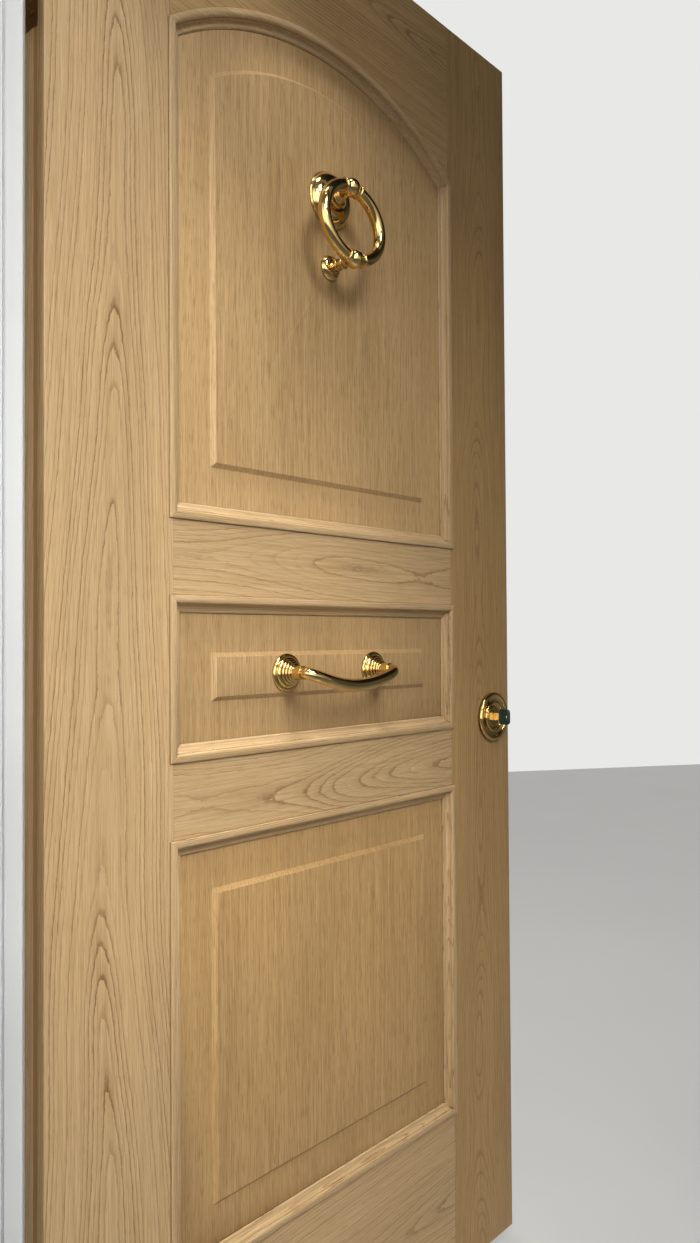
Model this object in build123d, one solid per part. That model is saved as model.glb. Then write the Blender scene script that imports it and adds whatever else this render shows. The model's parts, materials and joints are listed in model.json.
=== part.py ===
"""A panelled oak front door, hung in its painted frame and standing ajar.

Millimetres. X runs across the doorway from the hinge side to the lock side, Y runs from
outdoors to indoors, and Z is up. The origin is the middle of the threshold's underside.
Every piece of the leaf is drawn with the door shut, then swung about the hinge pins.
"""
from build123d import *
import os
from math import asin, atan2, cos, degrees, hypot, pi, radians, sin, sqrt

# The leaf
leaf_w = 926.0
leaf_h = 2100.0
leaf_t = 44.0
stile_w = 174.0
bottom_rail_h = 267.0
lower_opening_h = 537.0
lower_mid_rail_h = 106.0
middle_opening_h = 197.0
upper_mid_rail_h = 106.0
top_rail_crown_h = 173.0
arch_rise = 99.0
leaf_arris = 1.2
open_angle = 35.0

# Joinery of the leaf
tenon_t = 14.0
tenon_l = 60.0
haunch_h = 38.0
groove_depth = 12.0
panel_tongue_l = 10.0
panel_edge_gap = 1.0

# Raised and fielded panels
panel_recess = 10.0
field_margin = 67.0
field_bevel_w = 6.0
field_rise = 5.5

# Bolection moulding, as it stands on the leaf's face
mould_lap = 5.6
mould_reach = 16.5
mould_rise = 3.0
mould_round_r = 1.6
mould_ovolo_r = 3.0
mould_ovolo_start = 2.4
mould_quirk = 1.0
mould_cove_sag = 1.9
mould_bead_r = 2.8
mould_fillet = 0.6

# Intumescent strips in the leaf's edges, and the seal under it
strip_depth = 15.0
strip_w = 8.0
strip_t = 4.0
strip_end_gap = 1.0
foot_seal_w = 8.0
foot_seal_depth = 10.0
foot_seal_clear = 0.4

# The frame
edge_gap = 3.0
stop_gap = 3.0
stop_lap = 10.0
stop_d = 21.0
jamb_w = 55.0
jamb_arris = 2.0
face_show = 18.0
key_groove_w = 3.0
key_groove_d = 7.0
wall_lap_step = 2.0
fixing_r = 5.0
fixing_y = 8.0
fixings_from_foot = (420.0, 920.0)
fixings_from_top = (764.0, 264.0)
threshold_h = 15.0
threshold_nose = 22.0
threshold_nose_h = 8.0
drip_w = 5.0
drip_d = 3.0
leaf_foot_gap = 4.0

# Weather seal let into the frame's stop
seal_in = 5.2
seal_w = 6.4
seal_clear = 0.4
seal_leg_t = 2.4
seal_leg_l = 6.0

# Butt hinges
hinges_from_foot = (250.0,)
hinges_from_top = (305.0, 125.0)
hinge_h = 100.0
hinge_flap_t = 2.5
hinge_reach = 30.0
hinge_stand_off = 6.2
hinge_knuckle_r = 5.5
hinge_knuckles = 5
hinge_knuckle_gap = 0.4
hinge_pin_r = 3.0
hinge_run_clear = 0.05
hinge_finial_r = 4.6
hinge_finial_neck = 1.6
hinge_corner_r = 6.0
hinge_screws = 3
hinge_screw_inset = 17.0
screw_head_r = 4.4
screw_head_h = 2.2
screw_shank_r = 2.2
screw_taper_from = 0.8
screw_l = 32.0
screw_slot_w = 1.2
screw_slot_d = 0.9

# Ring knocker, placed by its share of the upper field's height
knocker_share = 0.7324
knocker_rose_r = 41.5
knocker_rose_edge = 3.0
knocker_bell = 0.22
knocker_dome_h = 17.0
knocker_dome_r = 15.0
knocker_dome_edge = 3.0
knocker_neck_r = 8.0
knocker_neck_h = 26.0
knocker_bead_r = 10.0
knocker_bead_w = 4.0
knocker_pivot_h = 43.5
knocker_pivot_rise = 6.0
knocker_tongue_t = 6.0
knocker_tongue_r = 6.5
knocker_pin_r = 2.0
knocker_run_clear = 0.05
knocker_side_clear = 0.35
ring_half_w = 59.0
ring_half_h = 53.0
ring_tube_r = 9.2
ring_ball_r = 13.5
ring_collar_r = 11.0
ring_collar_bead_r = 1.8
ring_collar_gap = 2.0
ring_lean = 3.2
striker_rose_r = 18.5
striker_rose_h = 9.0
striker_rose_edge = 2.0
striker_bell = 0.2
striker_throat = 1.0
striker_neck_r = 6.0
striker_beads = 2
striker_bead_r = 8.0
striker_bead_w = 3.4
striker_bead_crown = 0.8
striker_bead_step = 0.4
striker_clear = 0.35
striker_stud_r = 2.5
striker_stud_l = 18.0

# Pull handle, placed from the middle panel's centre
handle_above_centre = 2.0
handle_spacing = 184.0
handle_rose_r = 26.5
handle_rose_h = 4.0
handle_rose_crown = 0.8
handle_step_r = 22.0
handle_step_edge = 1.0
handle_step_h = 4.5
handle_step_crown = 1.0
handle_reed_r = 17.0
handle_reeds = 3
handle_reed_h = 3.4
handle_reed_crown = 1.1
handle_boss_r = 9.5
handle_boss_h = 34.0
handle_bar_end_r = 8.0
handle_bar_mid_r = 9.6
handle_bar_out = 15.0
handle_bar_drop = 20.0
handle_bar_sections = 9
handle_bar_fullness = 0.75

# Through bolts with dome nuts, behind the knocker and the handle
bolt_r = 3.0
bolt_clear = 0.3
bolt_bite = 3.5
bolt_washer_r = 10.0
bolt_washer_t = 1.6
dome_nut_r = 7.0
dome_nut_flat = 3.0
dome_nut_h = 9.0

# Cylinder pull, rim cylinder and key
lock_z = 917.5
lock_backset = 54.0
pull_r = 43.0
pull_foot_in = 2.0
pull_foot_h = 1.5
pull_edge_h = 4.0
pull_rim_h = 8.5
pull_rim_w = 9.0
pull_rim_outer_crown = 1.3
pull_rim_inner_crown = 1.2
pull_floor_h = 4.0
pull_floor_dish = 0.9
pull_floor_step = 1.0
pull_ring_r = 25.8
pull_ring_w = 3.2
pull_ring_h = 7.5
pull_seat_h = 2.6
cylinder_r = 16.0
cylinder_clear = 0.4
cylinder_flange_r = 18.6
cylinder_flange_h = 3.0
cylinder_flange_round_h = 1.0
cylinder_flange_round_in = 1.5
cylinder_l = 30.0
plug_r = 6.5
plug_run_clear = 0.05
key_blade_h = 8.4
key_blade_t = 2.2
key_blade_l = 22.0
key_cuts = (2.2, 2.7, 3.2, 2.2)
key_cut_pitch = 4.0
key_fit_clear = 0.15
key_shoulder_stand = 0.3
key_neck_h = 12.5
key_neck_l = 11.0
key_bow_w = 21.0
key_bow_h = 27.0
key_bow_t = 6.0
key_bow_corner_r = 6.0
key_bow_arris = 1.0
key_bow_hole_r = 3.2
key_bow_hole_in = 3.0
key_tang_l = 6.0
bar_w = 8.0
bar_t = 2.0
bar_end_gap = 6.0

# Rim latch on the indoor face, and its keep
case_w = 92.0
case_h = 66.0
case_d = 26.0
case_wall = 2.5
case_corner_r = 3.0
latch_plate_t = 2.0
latch_plate_clear = 0.4
plate_hole_r = 7.0
bolt_h = 26.0
bolt_t = 12.0
bolt_back = 6.0
bolt_tail = 14.0
bolt_side_clear = 0.35
bolt_bevel_l = 11.0
bolt_nose_t = 2.5
bolt_throw = 13.5
bolt_spindle_clear = 0.35
spindle_r = 6.0
spindle_clear = 0.05
spindle_slot_clear = 0.3
knob_r = 16.0
knob_neck_r = 8.5
knob_l = 24.0
knob_widest = 0.55
knob_crown_r = 12.0
knob_crown_h = 2.0
knob_flare = 1.6
knob_round = 1.4
knob_case_gap = 0.35
snib_below = 24.0
snib_l = 9.0
snib_h = 4.6
snib_out = 5.0
snib_travel = 8.0
snib_clear = 0.35
snib_foot_t = 2.0
snib_foot_lap_x = 2.0
snib_foot_lap_z = 1.2
keep_stand_off = 0.5
keep_wall = 3.0
keep_pocket_clear = 1.5
keep_end_clear = 7.0

# Places that follow from the sizes above
frame_d = leaf_t + stop_gap + stop_d
y_in = frame_d / 2
y_out = y_in - leaf_t
y_mid = (y_in + y_out) / 2
y_stop = y_out - stop_gap
y_front = -frame_d / 2
leaf_z = threshold_h + leaf_foot_gap
leaf_top = leaf_z + leaf_h
half_leaf = leaf_w / 2
opening_half = half_leaf - stile_w
daylight_half = half_leaf - stop_lap
daylight_top = leaf_top - stop_lap
rebate_in = stop_lap + edge_gap
frame_half = daylight_half + jamb_w
pin_x = -half_leaf - edge_gap / 2
pin_y = y_in + hinge_stand_off
lock_x = half_leaf - lock_backset
field_h = field_rise - panel_recess
field_inset = field_margin + field_bevel_w
far = 4.0 * leaf_w
arch_overrun = 1.1
frame_top = daylight_top + jamb_w
hinge_heights = [leaf_z + h for h in hinges_from_foot] + [leaf_top - h for h in hinges_from_top]
fixing_heights = list(fixings_from_foot) + [frame_top - h for h in fixings_from_top]

# Vertical layout of the leaf
z_lower = leaf_z + bottom_rail_h
z_lower_mid = z_lower + lower_opening_h
z_middle = z_lower_mid + lower_mid_rail_h
z_upper_mid = z_middle + middle_opening_h
z_upper = z_upper_mid + upper_mid_rail_h
z_crown = leaf_top - top_rail_crown_h


# Drawing helpers

def block(x0, x1, y0, y1, z0, z1):
    """A square-edged block between two corners."""
    size = (abs(x1 - x0), abs(y1 - y0), abs(z1 - z0))
    return Pos((x0 + x1) / 2, (y0 + y1) / 2, (z0 + z1) / 2) * Box(*size)


def upright(y):
    """A drawing plane at depth y: its own x is across, its y is up, its normal is outdoors."""
    return Plane(origin=(0, y, 0), x_dir=(1, 0, 0), z_dir=(0, -1, 0))


def slab(face, y0, y1):
    """An outline drawn across and up, made solid from depth y0 to depth y1."""
    return extrude(upright(y1) * face, amount=y1 - y0)


def turned(lines, x, z, y, outward=True):
    """A turned piece on an axis square to the leaf; lines run in (radius, height)."""
    direction = -1 if outward else 1
    plane = Plane(origin=(x, y, z), x_dir=(1, 0, 0), z_dir=(0, 0, direction))
    return revolve(plane * make_face(lines), Axis((x, y, z), (0, 1, 0)), 360)


def rod(r, x, z, y0, y1):
    """A round bar square to the leaf, from depth y0 to depth y1."""
    return extrude(upright(y1) * Pos(x, z) * Circle(r), amount=y1 - y0)


def bow(p, q, sag):
    """An arc from p to q that stands off its chord by sag, to the left of the way it runs."""
    length = hypot(q[0] - p[0], q[1] - p[1])
    side = (-(q[1] - p[1]) / length * sag, (q[0] - p[0]) / length * sag)
    return ThreePointArc(p, ((p[0] + q[0]) / 2 + side[0], (p[1] + q[1]) / 2 + side[1]), q)


def cap(r, low, high):
    """A round cap from radius r at height low up to the axis at height high."""
    rise = high - low
    sphere_r = (r ** 2 + rise ** 2) / (2 * rise)
    half = asin(min(r / sphere_r, 1)) / 2
    return ThreePointArc((r, low), (sphere_r * sin(half), high - sphere_r * (1 - cos(half))), (0, high))


def swung(shape):
    """The leaf's pieces stand open about the hinge pins."""
    if isinstance(shape, list):
        return [swung(solid) for solid in shape]
    return shape.rotate(Axis((pin_x, pin_y, 0), (0, 0, 1)), open_angle)


class Opening:
    """A hole bounded by four members. A margin m moves its outline inwards by m."""

    def __init__(self, half, bottom, top, rise=0.0, square_foot=False):
        self.half = half
        self.bottom = bottom
        self.top = top
        self.rise = rise
        self.square_foot = square_foot
        self.radius = (half ** 2 + rise ** 2) / (2 * rise) if rise else 0.0
        self.centre_z = top - self.radius

    def shoulder(self, m):
        """Height at which the sides meet the top."""
        if not self.rise:
            return self.top - m
        return self.centre_z + sqrt((self.radius - m) ** 2 - (self.half - m) ** 2)

    def foot(self, m):
        return self.bottom if self.square_foot else self.bottom + m

    def outline(self, m):
        """The hole's face, drawn across and up."""
        x = self.half - m
        low = self.foot(m)
        high = self.shoulder(m)
        sides = Polyline((-x, high), (-x, low), (x, low), (x, high))
        if not self.rise:
            return make_face(sides + Line((x, high), (-x, high)))
        return make_face(sides + ThreePointArc((x, high), (0, self.top - m), (-x, high)))

    def mitre_region(self, side, m_out, m_in):
        """The area one member keeps between its two mitres."""
        xo = self.half - m_out
        xi = self.half - m_in
        if side == "bottom":
            points = [(-xo, self.foot(m_out)), (xo, self.foot(m_out))]
            points += [(xi, self.foot(m_in)), (-xi, self.foot(m_in))]
        elif side == "top":
            high = self.top - m_out
            points = [(-xo, self.shoulder(m_out)), (-xo, high), (xo, high), (xo, self.shoulder(m_out))]
            points += [(xi, self.shoulder(m_in)), (-xi, self.shoulder(m_in))]
            if not self.rise:
                del points[1:3]
        else:
            hand = -1 if side == "left" else 1
            points = [(hand * xo, self.foot(m_out)), (hand * xi, self.foot(m_in))]
            points += [(hand * xi, self.shoulder(m_in)), (hand * xo, self.shoulder(m_out))]
        return make_face(Polyline(*points, close=True))

    def member(self, side, profile, y, m_out, m_in, outward=True):
        """One mitred length. The profile's x runs into the hole and its y leaves the face."""
        normal = Vector(0, -1 if outward else 1, 0)
        middle = (self.bottom + self.top) / 2
        start, inward = {
            "left": ((-self.half, y, middle), Vector(1, 0, 0)),
            "right": ((self.half, y, middle), Vector(-1, 0, 0)),
            "bottom": ((0, y, self.bottom), Vector(0, 0, 1)),
            "top": ((0, y, self.top), Vector(0, 0, -1)),
        }[side]
        plane = Plane(origin=start, x_dir=inward, z_dir=inward.cross(normal))
        if side == "top" and self.rise:
            axis = Axis((0, y, self.centre_z), (0, 1, 0))
            reach = degrees(atan2(self.half - m_out, self.shoulder(m_out) - self.centre_z)) * arch_overrun
            bar = revolve(plane * profile, axis, 2 * reach).rotate(axis, -reach)
        else:
            bar = extrude(plane * profile, amount=(self.top - self.bottom) / 2 + 2 * self.half, both=True)
        return bar & slab(self.mitre_region(side, m_out, m_in), -far, far)


lower = Opening(opening_half, z_lower, z_lower_mid)
middle = Opening(opening_half, z_middle, z_upper_mid)
upper = Opening(opening_half, z_upper, z_crown, arch_rise)
daylight = Opening(daylight_half, threshold_h, daylight_top, square_foot=True)
openings = {"lower": lower, "middle": middle, "upper": upper}
SIDES = ("left", "right", "bottom", "top")


# The leaf's frame of stiles and rails

def panel_groove(opening):
    """The groove that runs round an opening for the panel's tongue."""
    return slab(opening.outline(-groove_depth), y_mid - tenon_t / 2, y_mid + tenon_t / 2)


def tenon_spans():
    """Bottom and top of each rail's tenons."""
    return ((leaf_z + haunch_h, z_lower - groove_depth),
            (z_lower_mid + groove_depth, z_middle - groove_depth),
            (z_upper_mid + groove_depth, z_upper - groove_depth),
            (upper.shoulder(0) + groove_depth, leaf_top - haunch_h))


def edge_grooves():
    """Grooves for the strips in the leaf's two long edges and its head."""
    y0 = y_out + strip_depth
    y1 = y0 + strip_w
    left = block(-far, -half_leaf + strip_t, y0, y1, 0, far)
    right = block(half_leaf - strip_t, far, y0, y1, 0, far)
    head = block(-far, far, y0, y1, leaf_top - strip_t, far)
    return left, right, head


def foot_groove():
    """Groove for the seal under the leaf."""
    return block(-far, far, y_mid - foot_seal_w / 2, y_mid + foot_seal_w / 2, 0, leaf_z + foot_seal_depth)


def grooved(body):
    """A member of the leaf with the grooves of its outer edges."""
    for groove in edge_grooves():
        body -= groove
    return body - foot_groove()


def stile(hand):
    """One stile, grooved and mortised on the edge that faces the panels."""
    outer = hand * half_leaf
    inner = hand * opening_half
    body = block(outer, inner, y_out, y_in, leaf_z, leaf_top)
    corners = [e for e in body.edges().filter_by(Axis.Z) if abs(e.center().X - outer) < 1]
    body = chamfer(corners, leaf_arris)
    y0 = y_mid - tenon_t / 2
    y1 = y_mid + tenon_t / 2
    body -= block(inner, inner + hand * groove_depth, y0, y1, 0, far)
    for low, high in tenon_spans():
        body -= block(inner, inner + hand * tenon_l, y0, y1, low, high)
    return grooved(body)


def rail(low, high, tenon_span, neighbours, face=None):
    """A rail between the stiles, with a tenon at each end and grooves for the panels."""
    y0 = y_mid - tenon_t / 2
    y1 = y_mid + tenon_t / 2
    stub = opening_half + groove_depth
    reach = opening_half + tenon_l
    if face is None:
        body = block(-opening_half, opening_half, y_out, y_in, low, high)
    else:
        body = slab(face, y_out, y_in)
    body += block(-stub, stub, y0, y1, low, high)
    body += block(-reach, reach, y0, y1, *tenon_span)
    for opening in neighbours:
        body -= panel_groove(opening)
    return grooved(body)


def top_rail(tenon_span):
    """The head rail, whose lower edge is the arch over the upper panel."""
    low = upper.shoulder(0)
    arch = slab(upper.outline(0), -far, far)
    return rail(low, leaf_top, tenon_span, (upper,)) - arch


def edge_strips():
    """Strips in the leaf's edges; the one on the hinge side stops at each hinge."""
    y0 = y_out + strip_depth
    y1 = y0 + strip_w
    top = leaf_top - strip_t - strip_end_gap
    strips = [block(-half_leaf, half_leaf, y0, y1, leaf_top - strip_t, leaf_top)]
    low = leaf_z + foot_seal_depth
    strips.append(block(half_leaf - strip_t, half_leaf, y0, y1, low, top))
    for height in hinge_heights:
        reach = hinge_h / 2 + strip_end_gap
        strips.append(block(-half_leaf, -half_leaf + strip_t, y0, y1, low, height - reach))
        low = height + reach
    strips.append(block(-half_leaf, -half_leaf + strip_t, y0, y1, low, top))
    return strips


def foot_seal():
    """Rubber blade seal in the groove under the leaf."""
    w = foot_seal_w / 2
    low = threshold_h + foot_seal_clear
    top = leaf_z + foot_seal_depth
    points = [(y_mid - w, top), (y_mid + w, top), (y_mid + w, leaf_z), (y_mid + w / 3, low)]
    points += [(y_mid - w / 3, low), (y_mid - w, leaf_z)]
    profile = make_face(Polyline(*points, close=True))
    return extrude(Plane.YZ * profile, amount=half_leaf - leaf_arris, both=True)


# Panels and mouldings

def panel(opening):
    """A panel held by its tongue, raised to a bevelled field on both faces."""
    body = slab(opening.outline(panel_edge_gap), y_out + panel_recess, y_in - panel_recess)
    body += slab(opening.outline(-panel_tongue_l), y_mid - tenon_t / 2, y_mid + tenon_t / 2)
    for face_y, out in ((y_out + panel_recess, -1), (y_in - panel_recess, 1)):
        foot = upright(face_y) * opening.outline(field_margin)
        crest = upright(face_y + out * field_rise) * opening.outline(field_inset)
        body += loft([foot.faces()[0], crest.faces()[0]], ruled=True)
    return body


def moulding_profile():
    """Bolection section: x runs from the member's edge into the opening, y leaves the face."""
    back = -panel_recess
    round_start = (-mould_lap, mould_rise - mould_round_r)
    round_end = (-mould_lap + mould_round_r, mould_rise)
    ovolo_start = (mould_ovolo_start, mould_rise)
    ovolo_end = (mould_ovolo_start + mould_ovolo_r, mould_rise - mould_ovolo_r)
    quirk = (ovolo_end[0], ovolo_end[1] - mould_quirk)
    cove_start = (quirk[0] + mould_quirk, quirk[1])
    bead_start = (mould_reach - mould_bead_r, back + mould_bead_r)
    cove_end = (bead_start[0] - mould_fillet, bead_start[1])
    bend = 1 - sqrt(0.5)
    round_mid = (round_start[0] + mould_round_r * bend, round_end[1] - mould_round_r * bend)
    lines = Polyline((-mould_lap, 0), round_start, round_mid, round_end, ovolo_start)
    lines += bow(ovolo_start, ovolo_end, mould_ovolo_r * bend)
    lines += Polyline(ovolo_end, quirk, cove_start)
    lines += bow(cove_start, cove_end, -mould_cove_sag)
    lines += Line(cove_end, bead_start)
    lines += bow(bead_start, (mould_reach, back), mould_bead_r * bend)
    lines += Polyline((mould_reach, back), (0, back), (0, 0), (-mould_lap, 0))
    return make_face(lines)


def moulding(opening, side, outward=True):
    """One mitred length of moulding on either face of the leaf."""
    face_y = y_out if outward else y_in
    return opening.member(side, moulding_profile(), face_y, -mould_lap - 1, mould_reach + 1, outward)


# The frame

def jamb_profile():
    """Section of jambs and head: x runs into the doorway, y is towards the outdoors."""
    rear = -y_in
    front = -y_front
    points = [(0, front), (-face_show, front), (-face_show, front - key_groove_d),
              (-face_show - key_groove_w, front - key_groove_d),
              (-face_show - key_groove_w, front - wall_lap_step),
              (-jamb_w, front - wall_lap_step), (-jamb_w, rear), (-rebate_in, rear),
              (-rebate_in, -y_stop), (0, -y_stop)]
    return make_face(Polyline(*points, close=True))


def seal_profile():
    """Bulb seal with its leg in the stop."""
    low = -y_stop
    crest = low - (stop_gap - seal_clear)
    root = low + seal_leg_l
    mid = -seal_in
    leg = seal_leg_t / 2
    bulb = seal_w / 2
    lines = Polyline((mid - leg, low), (mid - leg, root), (mid + leg, root), (mid + leg, low),
                     (mid + bulb, low))
    lines += ThreePointArc((mid + bulb, low), (mid, crest), (mid - bulb, low))
    lines += Line((mid - bulb, low), (mid - leg, low))
    return make_face(lines)


def seal_kerf():
    """The kerf in the stop that holds the seal's leg."""
    mouth = -y_stop - 1
    root = -y_stop + seal_leg_l
    low = -seal_in - seal_leg_t / 2
    high = -seal_in + seal_leg_t / 2
    return make_face(Polyline((low, mouth), (high, mouth), (high, root), (low, root), close=True))


def frame_member(side):
    """A jamb or the head: rebated for the leaf, mitred at the top corners."""
    body = daylight.member(side, jamb_profile(), 0, -jamb_w - 1, 1)
    arrises = []
    for edge in body.edges().filter_by(GeomType.LINE):
        centre = edge.center()
        on_face = abs(centre.Y - y_front) < 0.01
        at_daylight = abs(abs(centre.X) - daylight_half) < 0.01 or abs(centre.Z - daylight_top) < 0.01
        if on_face and at_daylight and edge.length > jamb_w * 2:
            arrises.append(edge)
    body = fillet(arrises, jamb_arris)
    return body - daylight.member(side, seal_kerf(), 0, -jamb_w - 1, 1)


def jamb(side):
    """A jamb, drilled for the screws that hold it to the wall."""
    body = frame_member(side)
    for height in fixing_heights:
        body -= Pos(0, fixing_y, height) * Rot(0, 90, 0) * Cylinder(fixing_r, far)
    return body


def threshold():
    """Low sill under both jambs, with a weathered nose and a drip."""
    nose = y_front - threshold_nose
    drip = nose + drip_w
    points = [(y_in, 0), (y_in, threshold_h), (y_front, threshold_h), (nose, threshold_nose_h), (nose, 0),
              (drip, 0), (drip, drip_d), (drip + drip_w, drip_d), (drip + drip_w, 0)]
    return extrude(Plane.YZ * make_face(Polyline(*points, close=True)), amount=frame_half, both=True)


def frame_seals():
    """Weather seals round the stop."""
    profile = seal_profile()
    sides = ("left", "right", "top")
    return [daylight.member(s, profile, 0, -jamb_w, 1) for s in sides]


# Hinges

def screw_heights(index):
    """Heights of the screws in one hinge flap."""
    step = (hinge_h - 2 * hinge_screw_inset) / (hinge_screws - 1)
    low = hinge_heights[index] - hinge_h / 2 + hinge_screw_inset
    return [low + step * n for n in range(hinge_screws)]


def countersunk_screw(x, z, into):
    """A slotted countersunk screw, its head flush at x and its shank running towards into."""
    y = y_in - hinge_reach / 2
    shank = screw_l * screw_taper_from
    profile = Polyline((0, 0), (screw_head_r, 0), (screw_shank_r, screw_head_h), (screw_shank_r, shank),
                       (0, screw_l), (0, 0))
    plane = Plane(origin=(x, y, z), x_dir=(0, 1, 0), z_dir=(0, 0, -into))
    return revolve(plane * make_face(profile), Axis((x, y, z), (1, 0, 0)), 360)


def screw_slot(x, y, z):
    """The driver slot in a screw head."""
    w = screw_slot_w / 2
    return block(x - screw_slot_d, x + screw_slot_d, y - screw_head_r, y + screw_head_r, z - w, z + w)


def flap_screws(x, into):
    """All the screws on one side of the three hinges."""
    y = y_in - hinge_reach / 2
    screws = []
    for index in range(len(hinge_heights)):
        for z in screw_heights(index):
            screws.append(countersunk_screw(x, z, into) - screw_slot(x, y, z))
    return screws


def flap_block(x, into, index):
    """The flat of a flap, let in flush at x."""
    z = hinge_heights[index]
    y0 = y_in - hinge_reach
    body = block(x, x + into * hinge_flap_t, y0, y_in, z - hinge_h / 2, z + hinge_h / 2)
    corners = [e for e in body.edges().filter_by(Axis.X) if abs(e.center().Y - y0) < 0.01]
    return fillet(corners, hinge_corner_r)


def hinge_flap(x, into, index, on_leaf):
    """A flap with its own knuckles: odd ones on the frame side, even ones on the leaf."""
    body = flap_block(x, into, index)
    base = hinge_heights[index] - hinge_h / 2
    pitch = hinge_h / hinge_knuckles
    bore = hinge_pin_r + (hinge_run_clear if on_leaf else 0.0)
    for n in range(hinge_knuckles):
        if (n % 2 == 1) != on_leaf:
            continue
        low = base + n * pitch + (hinge_knuckle_gap / 2 if n else 0)
        high = base + (n + 1) * pitch - (hinge_knuckle_gap / 2 if n < hinge_knuckles - 1 else 0)
        height = high - low
        barrel = Pos(pin_x, pin_y, (low + high) / 2) * Cylinder(hinge_knuckle_r, height)
        web = block(x, x + into * hinge_flap_t, y_in, pin_y, low, high)
        body += barrel + web
    body -= Pos(pin_x, pin_y, hinge_heights[index]) * Cylinder(bore, 2 * hinge_h)
    for z in screw_heights(index):
        body -= countersunk_screw(x, z, into)
    return body


def hinge_pins():
    """Hinge pins with a ball finial at each end."""
    pins = []
    for index in range(len(hinge_heights)):
        z = hinge_heights[index]
        reach = hinge_h / 2
        pin = Pos(pin_x, pin_y, z) * Cylinder(hinge_pin_r, 2 * (reach + hinge_finial_neck))
        for end in (-1, 1):
            ball_z = z + end * (reach + hinge_finial_r)
            ball = Pos(pin_x, pin_y, ball_z) * Sphere(hinge_finial_r)
            keep = z + end * reach
            pin += ball & block(pin_x - far, pin_x + far, pin_y - far, pin_y + far, keep, keep + end * far)
        pins.append(pin)
    return pins


def let_in(body, x, into):
    """Recesses and screw holes for the three hinge flaps."""
    for index in range(len(hinge_heights)):
        body -= flap_block(x, into, index)
        for z in screw_heights(index):
            body -= countersunk_screw(x, z, into)
    return body


# Knocker

upper_field_z = z_upper + field_inset
upper_field_h = z_crown - field_inset - upper_field_z
knocker_abs_z = upper_field_z + knocker_share * upper_field_h
tongue_bite = 1.0
tongue_l = knocker_pivot_h - knocker_neck_h + tongue_bite
tongue_slope = degrees(atan2(knocker_pivot_rise, tongue_l))
field_y = y_out - field_h
pivot_y = field_y - knocker_pivot_h
pivot_z = knocker_abs_z + knocker_pivot_rise


def knocker_rose():
    """Bell-shaped rose, beaded neck and the tongue that the ring's ball turns on."""
    r = knocker_rose_r
    neck = knocker_neck_r
    dome = knocker_dome_h
    throat = (knocker_dome_r, dome - knocker_dome_edge)
    top = dome + knocker_bead_w
    lines = Polyline((0, 0), (r, 0), (r, knocker_rose_edge))
    lines += bow((r, knocker_rose_edge), throat, -(r - knocker_dome_r) * knocker_bell)
    lines += Polyline(throat, (knocker_dome_r, dome), (knocker_bead_r, dome))
    lines += bow((knocker_bead_r, dome), (knocker_bead_r, top), neck - knocker_bead_r)
    lines += Polyline((knocker_bead_r, top), (neck, top), (neck, knocker_neck_h), (0, knocker_neck_h), (0, 0))
    body = turned(lines, 0, knocker_abs_z, field_y)
    body += tongue()
    bore = Pos(0, pivot_y, pivot_z) * Rot(0, 90, 0) * Cylinder(knocker_pin_r + knocker_run_clear, far)
    return body - bore - rod(bolt_r, 0, knocker_abs_z, field_y - bolt_bite, field_y + 1)


def tongue():
    """Flat tongue rising from the neck to an eye at the pivot."""
    start_y = pivot_y + tongue_l
    half = knocker_tongue_r
    eye = Pos(0, pivot_y, pivot_z) * Rot(0, 90, 0) * Cylinder(half, knocker_tongue_t)
    dy = start_y - pivot_y
    dz = knocker_abs_z - pivot_z
    length = hypot(dy, dz)
    offset = (-dz / length * half, dy / length * half)
    points = [(pivot_y + offset[0], pivot_z + offset[1]), (start_y + offset[0], knocker_abs_z + offset[1]),
              (start_y - offset[0], knocker_abs_z - offset[1]), (pivot_y - offset[0], pivot_z - offset[1])]
    web = extrude(Plane.YZ * make_face(Polyline(*points, close=True)), amount=knocker_tongue_t / 2, both=True)
    return eye + web


def ring_collars(path):
    """A beaded collar near each end of one half of the ring, next to the balls."""
    bead_at = ring_collar_r - ring_collar_bead_r
    along = ring_ball_r + ring_collar_gap
    parts = []
    for distance in (along, path.length - along):
        parts.append(path.location_at(distance / path.length) * Torus(bead_at, ring_collar_bead_r))
    return parts


def knocker_ring():
    """Oval ring with a ball at the top and the bottom, leaning out at its foot."""
    ring_plane = Plane(origin=(0, 0, -ring_half_h), x_dir=(1, 0, 0), z_dir=(0, -1, 0))
    body = Sphere(ring_ball_r) + Pos(0, 0, -2 * ring_half_h) * Sphere(ring_ball_r)
    for start in (-90, 90):
        path = ring_plane * EllipticalCenterArc((0, 0), ring_half_w, ring_half_h, start_angle=start,
                                                arc_size=180)
        section = Plane(origin=path @ 0, z_dir=path % 0) * Circle(ring_tube_r)
        body += sweep(section, path=path)
        for collar in ring_collars(path):
            body += collar
    body -= tongue_slot()
    body -= Rot(0, 90, 0) * Cylinder(knocker_pin_r, 3 * ring_ball_r)
    body = body.rotate(Axis((0, 0, 0), (1, 0, 0)), -ring_lean)
    return Pos(0, pivot_y, pivot_z) * body


def tongue_slot():
    """Slot in the top ball, from its back round to its crown, that clears the tongue."""
    half = knocker_tongue_t / 2 + knocker_side_clear
    eye_r = knocker_tongue_r + knocker_side_clear
    beyond = 2 * ring_ball_r
    eye = Rot(0, 90, 0) * Cylinder(eye_r, 2 * half)
    back = Rot(ring_lean - tongue_slope, 0, 0) * block(-half, half, 0, beyond, -ring_ball_r, beyond)
    crown = block(-half, half, -eye_r, beyond, 0, beyond)
    return eye + back + crown


def knocker_pin():
    """Cross pin through the top ball."""
    reach = sqrt(ring_ball_r ** 2 - knocker_pin_r ** 2)
    return Pos(0, pivot_y, pivot_z) * Rot(0, 90, 0) * Cylinder(knocker_pin_r, 2 * reach)


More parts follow.
